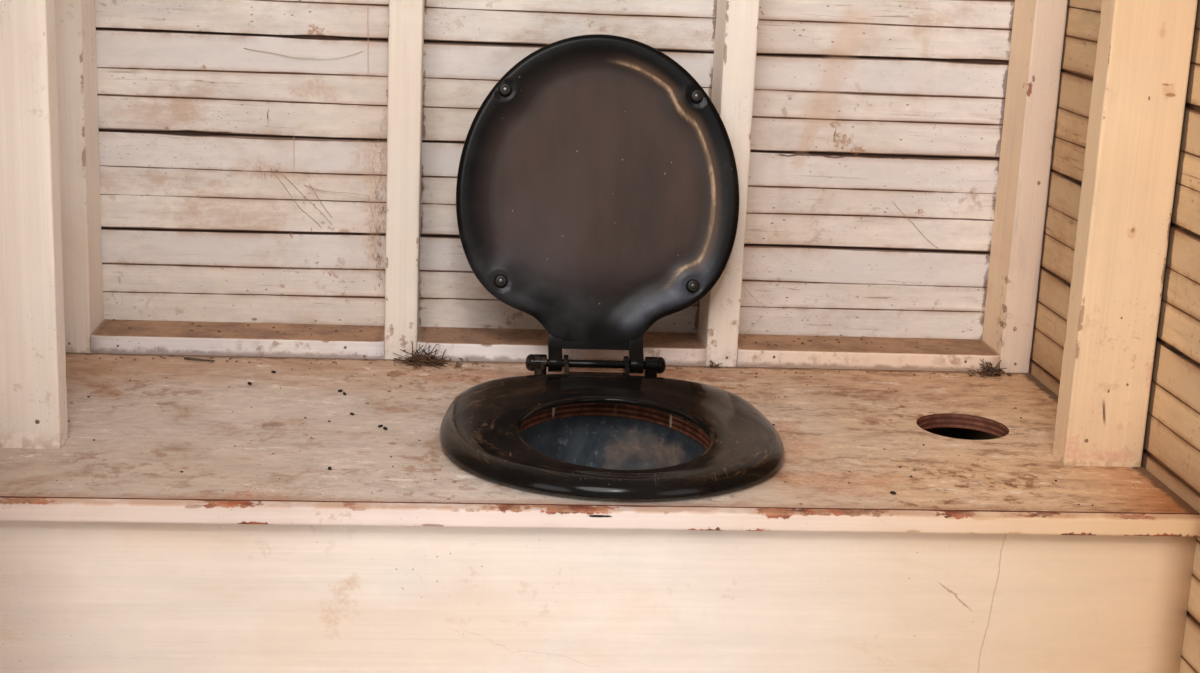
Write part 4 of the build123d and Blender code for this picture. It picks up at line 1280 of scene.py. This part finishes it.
def tangle(name, x, y, spread_x, spread_y, count, length, height):
    """A spiky heap of stalks on the bench: dense low down, with ends sticking out."""
    runs = []
    for _ in range(count):
        a, q = rng.uniform(0, 2 * math.pi), rng.random() ** 0.6
        start = Vector((x + spread_x * q * math.cos(a), y + spread_y * q * math.sin(a),
                        BENCH_Z + 0.0012 + height * rng.random() * (1 - q) * 0.9))
        aim = Vector((rng.gauss(0, 1), rng.gauss(0, 0.7), rng.gauss(0.15, 0.5))).normalized()
        bend = Vector((jitter(1), jitter(1), jitter(0.6))) * 0.35
        far = length * rng.uniform(0.4, 1.3)
        pts = []
        for t in (0, 0.2, 0.4, 0.6, 0.8, 1.0):
            p = start + aim * (t * far) + bend * (t * t * far)
            p.z = min(max(p.z, BENCH_Z + 0.001), BENCH_Z + height * 1.35)
            p.y = min(p.y, STUD_Y - 0.0015)
            pts.append(p)
        runs.append(pts)
    strands(name, runs, 0.0008, MAT["litter"], "bench_ply")


def flakes(name, spots, size):
    """Curled flakes lying flat: thin closed chips."""
    verts, faces = [], []
    for spot in spots:
        a, base = rng.uniform(0, math.pi), len(verts)
        length = size * rng.uniform(0.5, 1.5)
        width, curl = length * rng.uniform(0.2, 0.55), rng.uniform(0.02, 0.22) * length
        d, s = Vector((math.cos(a), math.sin(a), 0)), Vector((-math.sin(a), math.cos(a), 0))
        for t in (-0.5, -0.25, 0.0, 0.25, 0.5):
            w, up = width * (1 - (2 * t) ** 2 * 0.75), curl * (0.25 - t * t) * 4 + 0.0003
            for way, dz in ((-1, 0), (1, 0), (1, 0.0005), (-1, 0.0005)):
                lifted = Vector((spot[0], spot[1], spot[2] + up + dz))
                verts.append(lifted + d * (t * length) + s * (way * w / 2))
        faces += tube_faces(5, 4, base)
    place(make(name, verts, faces, MAT["litter"], smooth=False), "bay", "bench_ply")


def clear(x, y):
    """Whether a place on the bench isn't under the seat, in a hole or against a stud."""
    under_seat = math.hypot((x - SEAT_X) / 0.205, (y - 0.03) / 0.245) < 1
    in_vent = math.hypot(x - VENT_X, y - VENT_Y) < 0.066
    at_stud = abs(x) > 0.54 and -0.04 < y < 0.03
    at_hinge = abs(x - SEAT_X) < 0.105 and 0.24 < y < 0.3
    return not (under_seat or in_vent or at_stud or at_hinge)


LITTER_Z = BENCH_Z + 0.0001
LITTER_BACK = 0.374


def scatter(count, x0, x1, y0, y1):
    """Clear places on the bench."""
    out = []
    while len(out) < count:
        x, y = rng.uniform(x0, x1), rng.uniform(y0, y1)
        if clear(x, y):
            out.append((x, y, LITTER_Z))
    return out


def heap(count, x, y, sx, sy):
    """Places piled round one point."""
    return [(x + rng.gauss(0, sx), min(y + rng.gauss(0, sy), LITTER_BACK), BENCH_Z + rng.random() * 0.006)
            for _ in range(count)]


tangle("tangle_stud_foot", -0.172, 0.362, 0.024, 0.011, 150, 0.02, 0.02)
tangle("tangle_corner", 0.585, 0.366, 0.014, 0.008, 70, 0.014, 0.018)
tangle("tangle_stud_3", 0.212, 0.372, 0.008, 0.004, 22, 0.008, 0.007)
flakes("flakes_stud_foot", heap(70, -0.172, 0.362, .026, .01), 0.007)
flakes("flakes_corner", heap(40, 0.582, 0.364, .014, .007), 0.007)
flakes("flakes_bench", scatter(70, -0.62, 0.62, -0.17, 0.365), 0.0028)
flakes("flakes_back", scatter(90, -0.62, 0.62, 0.345, LITTER_BACK), 0.004)
GIRT_TOP = BENCH_Z + 0.0242
flakes("flakes_girts", [(x, rng.uniform(0.4, 0.465), GIRT_TOP)
                        for x in [rng.uniform(-0.59, 0.59) for _ in range(90)]
                        if all(abs(x - stud) > 0.028 for stud in STUD_X[1:3])], 0.0042)

# large droppings where the photo shows them, and small ones anywhere
LARGE = ((-0.271, 0.218), (-0.251, 0.121), (-0.383, 0.242), (-0.21, 0.064), (-0.262, -0.083),
         (-0.36, 0.3), (-0.265, 0.205), (-0.216, 0.074), (0.33, -0.135))
LARGE_SIZE = (.003, .004), (.0016, .0022), (.0013, .0019)
SMALL_SIZE = (.0009, .0022), (.0008, .0013), (.0005, .001)
verts, faces = [], []
small = [s[:2] for s in scatter(20, -0.6, 0.6, -0.17, 0.36)]
for (x, y), size in [(p, LARGE_SIZE) for p in LARGE] + [(p, SMALL_SIZE) for p in small]:
    rx, ry, rz = [rng.uniform(*limits) for limits in size]
    way = rng.uniform(0, 3)
    faces += tube_faces(5, 8, len(verts))
    for lat in map(math.radians, (-80, -40, 0, 40, 80)):
        for a in turn(8):
            px, py = rx * math.cos(lat) * math.cos(a), ry * math.cos(lat) * math.sin(a)
            verts.append((x + px * math.cos(way) - py * math.sin(way),
                          y + px * math.sin(way) + py * math.cos(way),
                          LITTER_Z + rz * (1 + math.sin(lat))))
place(make("bench_droppings", verts, faces, MAT["dropping"]), "bay", "bench_ply")

twig = [(-0.478 + 0.0048 * k + jitter(.0008), 0.352 - 0.0012 * k + jitter(.001), BENCH_Z + 0.0029)
        for k in range(9)]
strands("twig_left", [twig], 0.0024, MAT["twig"], "bench_ply", n=7)

WEB_Y = BACK_Y - 0.0012


def sag(x0, y0, z0, x1, y1, z1, drop, wave=0.0, n=12):
    """A hanging thread between two points, each y0 or y1 in front of the back wall."""
    p, q = (x0, WEB_Y - y0, z0), (x1, WEB_Y - y1, z1)
    return [(p[0] + (q[0] - p[0]) * t, p[1] + (q[1] - p[1]) * t,
             p[2] + (q[2] - p[2]) * t - drop * 4 * t * (1 - t) + wave * math.sin(9 * t + p[0] * 50))
            for t in (i / n for i in range(n + 1))]


THREADS = (
    (-0.415, 0, 0.831, -0.325, .002, 0.82, 0.002, .0008), (-0.325, .002, 0.82, -0.261, 0, 0.832, 0.004),
    (-0.378, 0, 0.669, -0.314, 0, 0.595, 0.004, .002), (-0.374, 0, 0.672, -0.3, 0, 0.6, -0.003, .001),
    (-0.337, 0, 0.652, -0.251, .01, 0.644, 0.003, .001), (-0.33, 0, 0.655, -0.3, 0, 0.61, 0.002),
    (-0.246, .03, 0.69, -0.2275, .05, 0.6, 0.003), (-0.252, 0, 0.64, -0.2275, .06, 0.56, 0.002),
    (-0.25, 0, 0.6, -0.2275, .04, 0.52, -0.002), (0.3, 0, 0.5, 0.2465, .05, 0.55, 0.006),
    (0.2465, .07, 0.475, 0.29, 0, 0.49, 0.004), (0.46, 0, 0.655, 0.53, 0, 0.59, 0.003, .001))
strands("threads_back", [sag(*row) for row in THREADS], 0.00035, MAT["web"], "siding_paint", n=4, taper=0.0)
LEFT_OF_STUD, RIGHT_OF_STUD = -0.2285, 0.2475     # places beside the two middle studs
HAIR = 0.008
FUZZ_R = 0.00035
fuzz = []
for cx, cz, sx, sz, count in (
        (-0.236, 0.625, 0.004, 0.055, 70), (-0.24, 0.545, 0.004, 0.03, 20),
        (-0.376, 0.675, 0.012, 0.007, 9), (-0.325, 0.622, 0.012, 0.012, 6),
        (0.25, 0.5, 0.004, 0.025, 30), (0.598, 0.5, 0.003, 0.03, 20)):
    for _ in range(count):
        x, z = cx + rng.gauss(0, sx), cz + rng.gauss(0, sz)
        if LEFT_OF_STUD < x < -0.18:
            x = LEFT_OF_STUD - abs(jitter(.004))
        if 0.2 < x < RIGHT_OF_STUD:
            x = RIGHT_OF_STUD + abs(jitter(.004))
        y = WEB_Y - abs(rng.gauss(0, 0.007))
        z = max(z, 0.468)
        fuzz.append([(x + jitter(.3) * HAIR * t, y - abs(jitter(.15)) * HAIR * t,
                      max(z + jitter(.9) * HAIR * t, 0.466)) for t in (0, .4, .8, 1.2)])
strands("fuzz_stud", fuzz, FUZZ_R, MAT["web"], "siding_paint", n=4)

# stage, light and camera
bpy.ops.mesh.primitive_plane_add(size=14, location=(0, 0, 0))
floor = bpy.context.object
floor.name = "stage_floor"
pale = Mat("stage_pale")
pale.col = (232, 230, 227)
floor.data.materials.append(pale.finish(0.9, Specular_IOR_Level=0.1))

world = bpy.data.worlds.new("stage_world")
bpy.context.scene.world = world
world.use_nodes = True
nodes = world.node_tree.nodes
nodes.clear()
out, sky = nodes.new("ShaderNodeOutputWorld"), nodes.new("ShaderNodeBackground")
sky.inputs[0].default_value, sky.inputs[1].default_value = (1, 0.99, 0.975, 1), 0.48
world.node_tree.links.new(sky.outputs[0], out.inputs[0])


def lamp(name, spot, target, size, watts, colour):
    data = bpy.data.lights.new(name, "AREA")
    data.shape, data.size, data.energy, data.color = "DISK", size, watts, colour
    ob = link(name, data)
    ob.location = spot
    ob.rotation_mode = "QUATERNION"
    ob.rotation_quaternion = (Vector(target) - Vector(spot)).to_track_quat("-Z", "Y")


lamp("key", (-0.45, -2.4, 2.6), (0.05, 0.3, 0.5), 1.5, 60, (1.0, 0.99, 0.975))
lamp("glint", (-0.05, -2.5, 2.3), (0.05, 0.1, 0.5), 0.22, 11, (0.97, 0.98, 1.0))
lamp("fill_left", (-2.4, -2.5, 1.5), (0.2, 0.2, 0.6), 1.8, 26, (0.99, 0.99, 1.0))
lamp("fill_right", (2.4, -2.9, 1.7), (-0.1, 0.3, 0.6), 1.8, 17, (1.0, 0.99, 0.97))
lamp("rear", (-1.5, 4.0, 3.0), (0.0, 0.0, 0.9), 3.0, 60, (1, 1, 1))

# the photo's own camera
EYE = (-0.13778, -1.84549, 1.02602)
FOCAL_PX, PHOTO_PX, SENSOR = 1740.1, 1200, 36.0
pitch, yaw, roll = math.radians(13.8), math.radians(5.035), math.radians(2.501)
ahead = Vector((math.sin(yaw) * math.cos(pitch), math.cos(yaw) * math.cos(pitch), -math.sin(pitch)))
level = Vector((math.cos(yaw), -math.sin(yaw), 0))
right = math.cos(roll) * level + math.sin(roll) * level.cross(ahead)
up = -math.sin(roll) * level + math.cos(roll) * level.cross(ahead)
cam = bpy.data.cameras.new("photo_camera")
cam.sensor_width = SENSOR
cam.lens = FOCAL_PX / PHOTO_PX * SENSOR
cam.clip_start = 0.05
viewer = link("photo_camera", cam)
viewer.matrix_world = Matrix([(right[i], up[i], -ahead[i], EYE[i]) for i in range(3)] + [(0, 0, 0, 1)])
bpy.context.scene.camera = viewer
bpy.context.scene.view_settings.view_transform = "Standard"
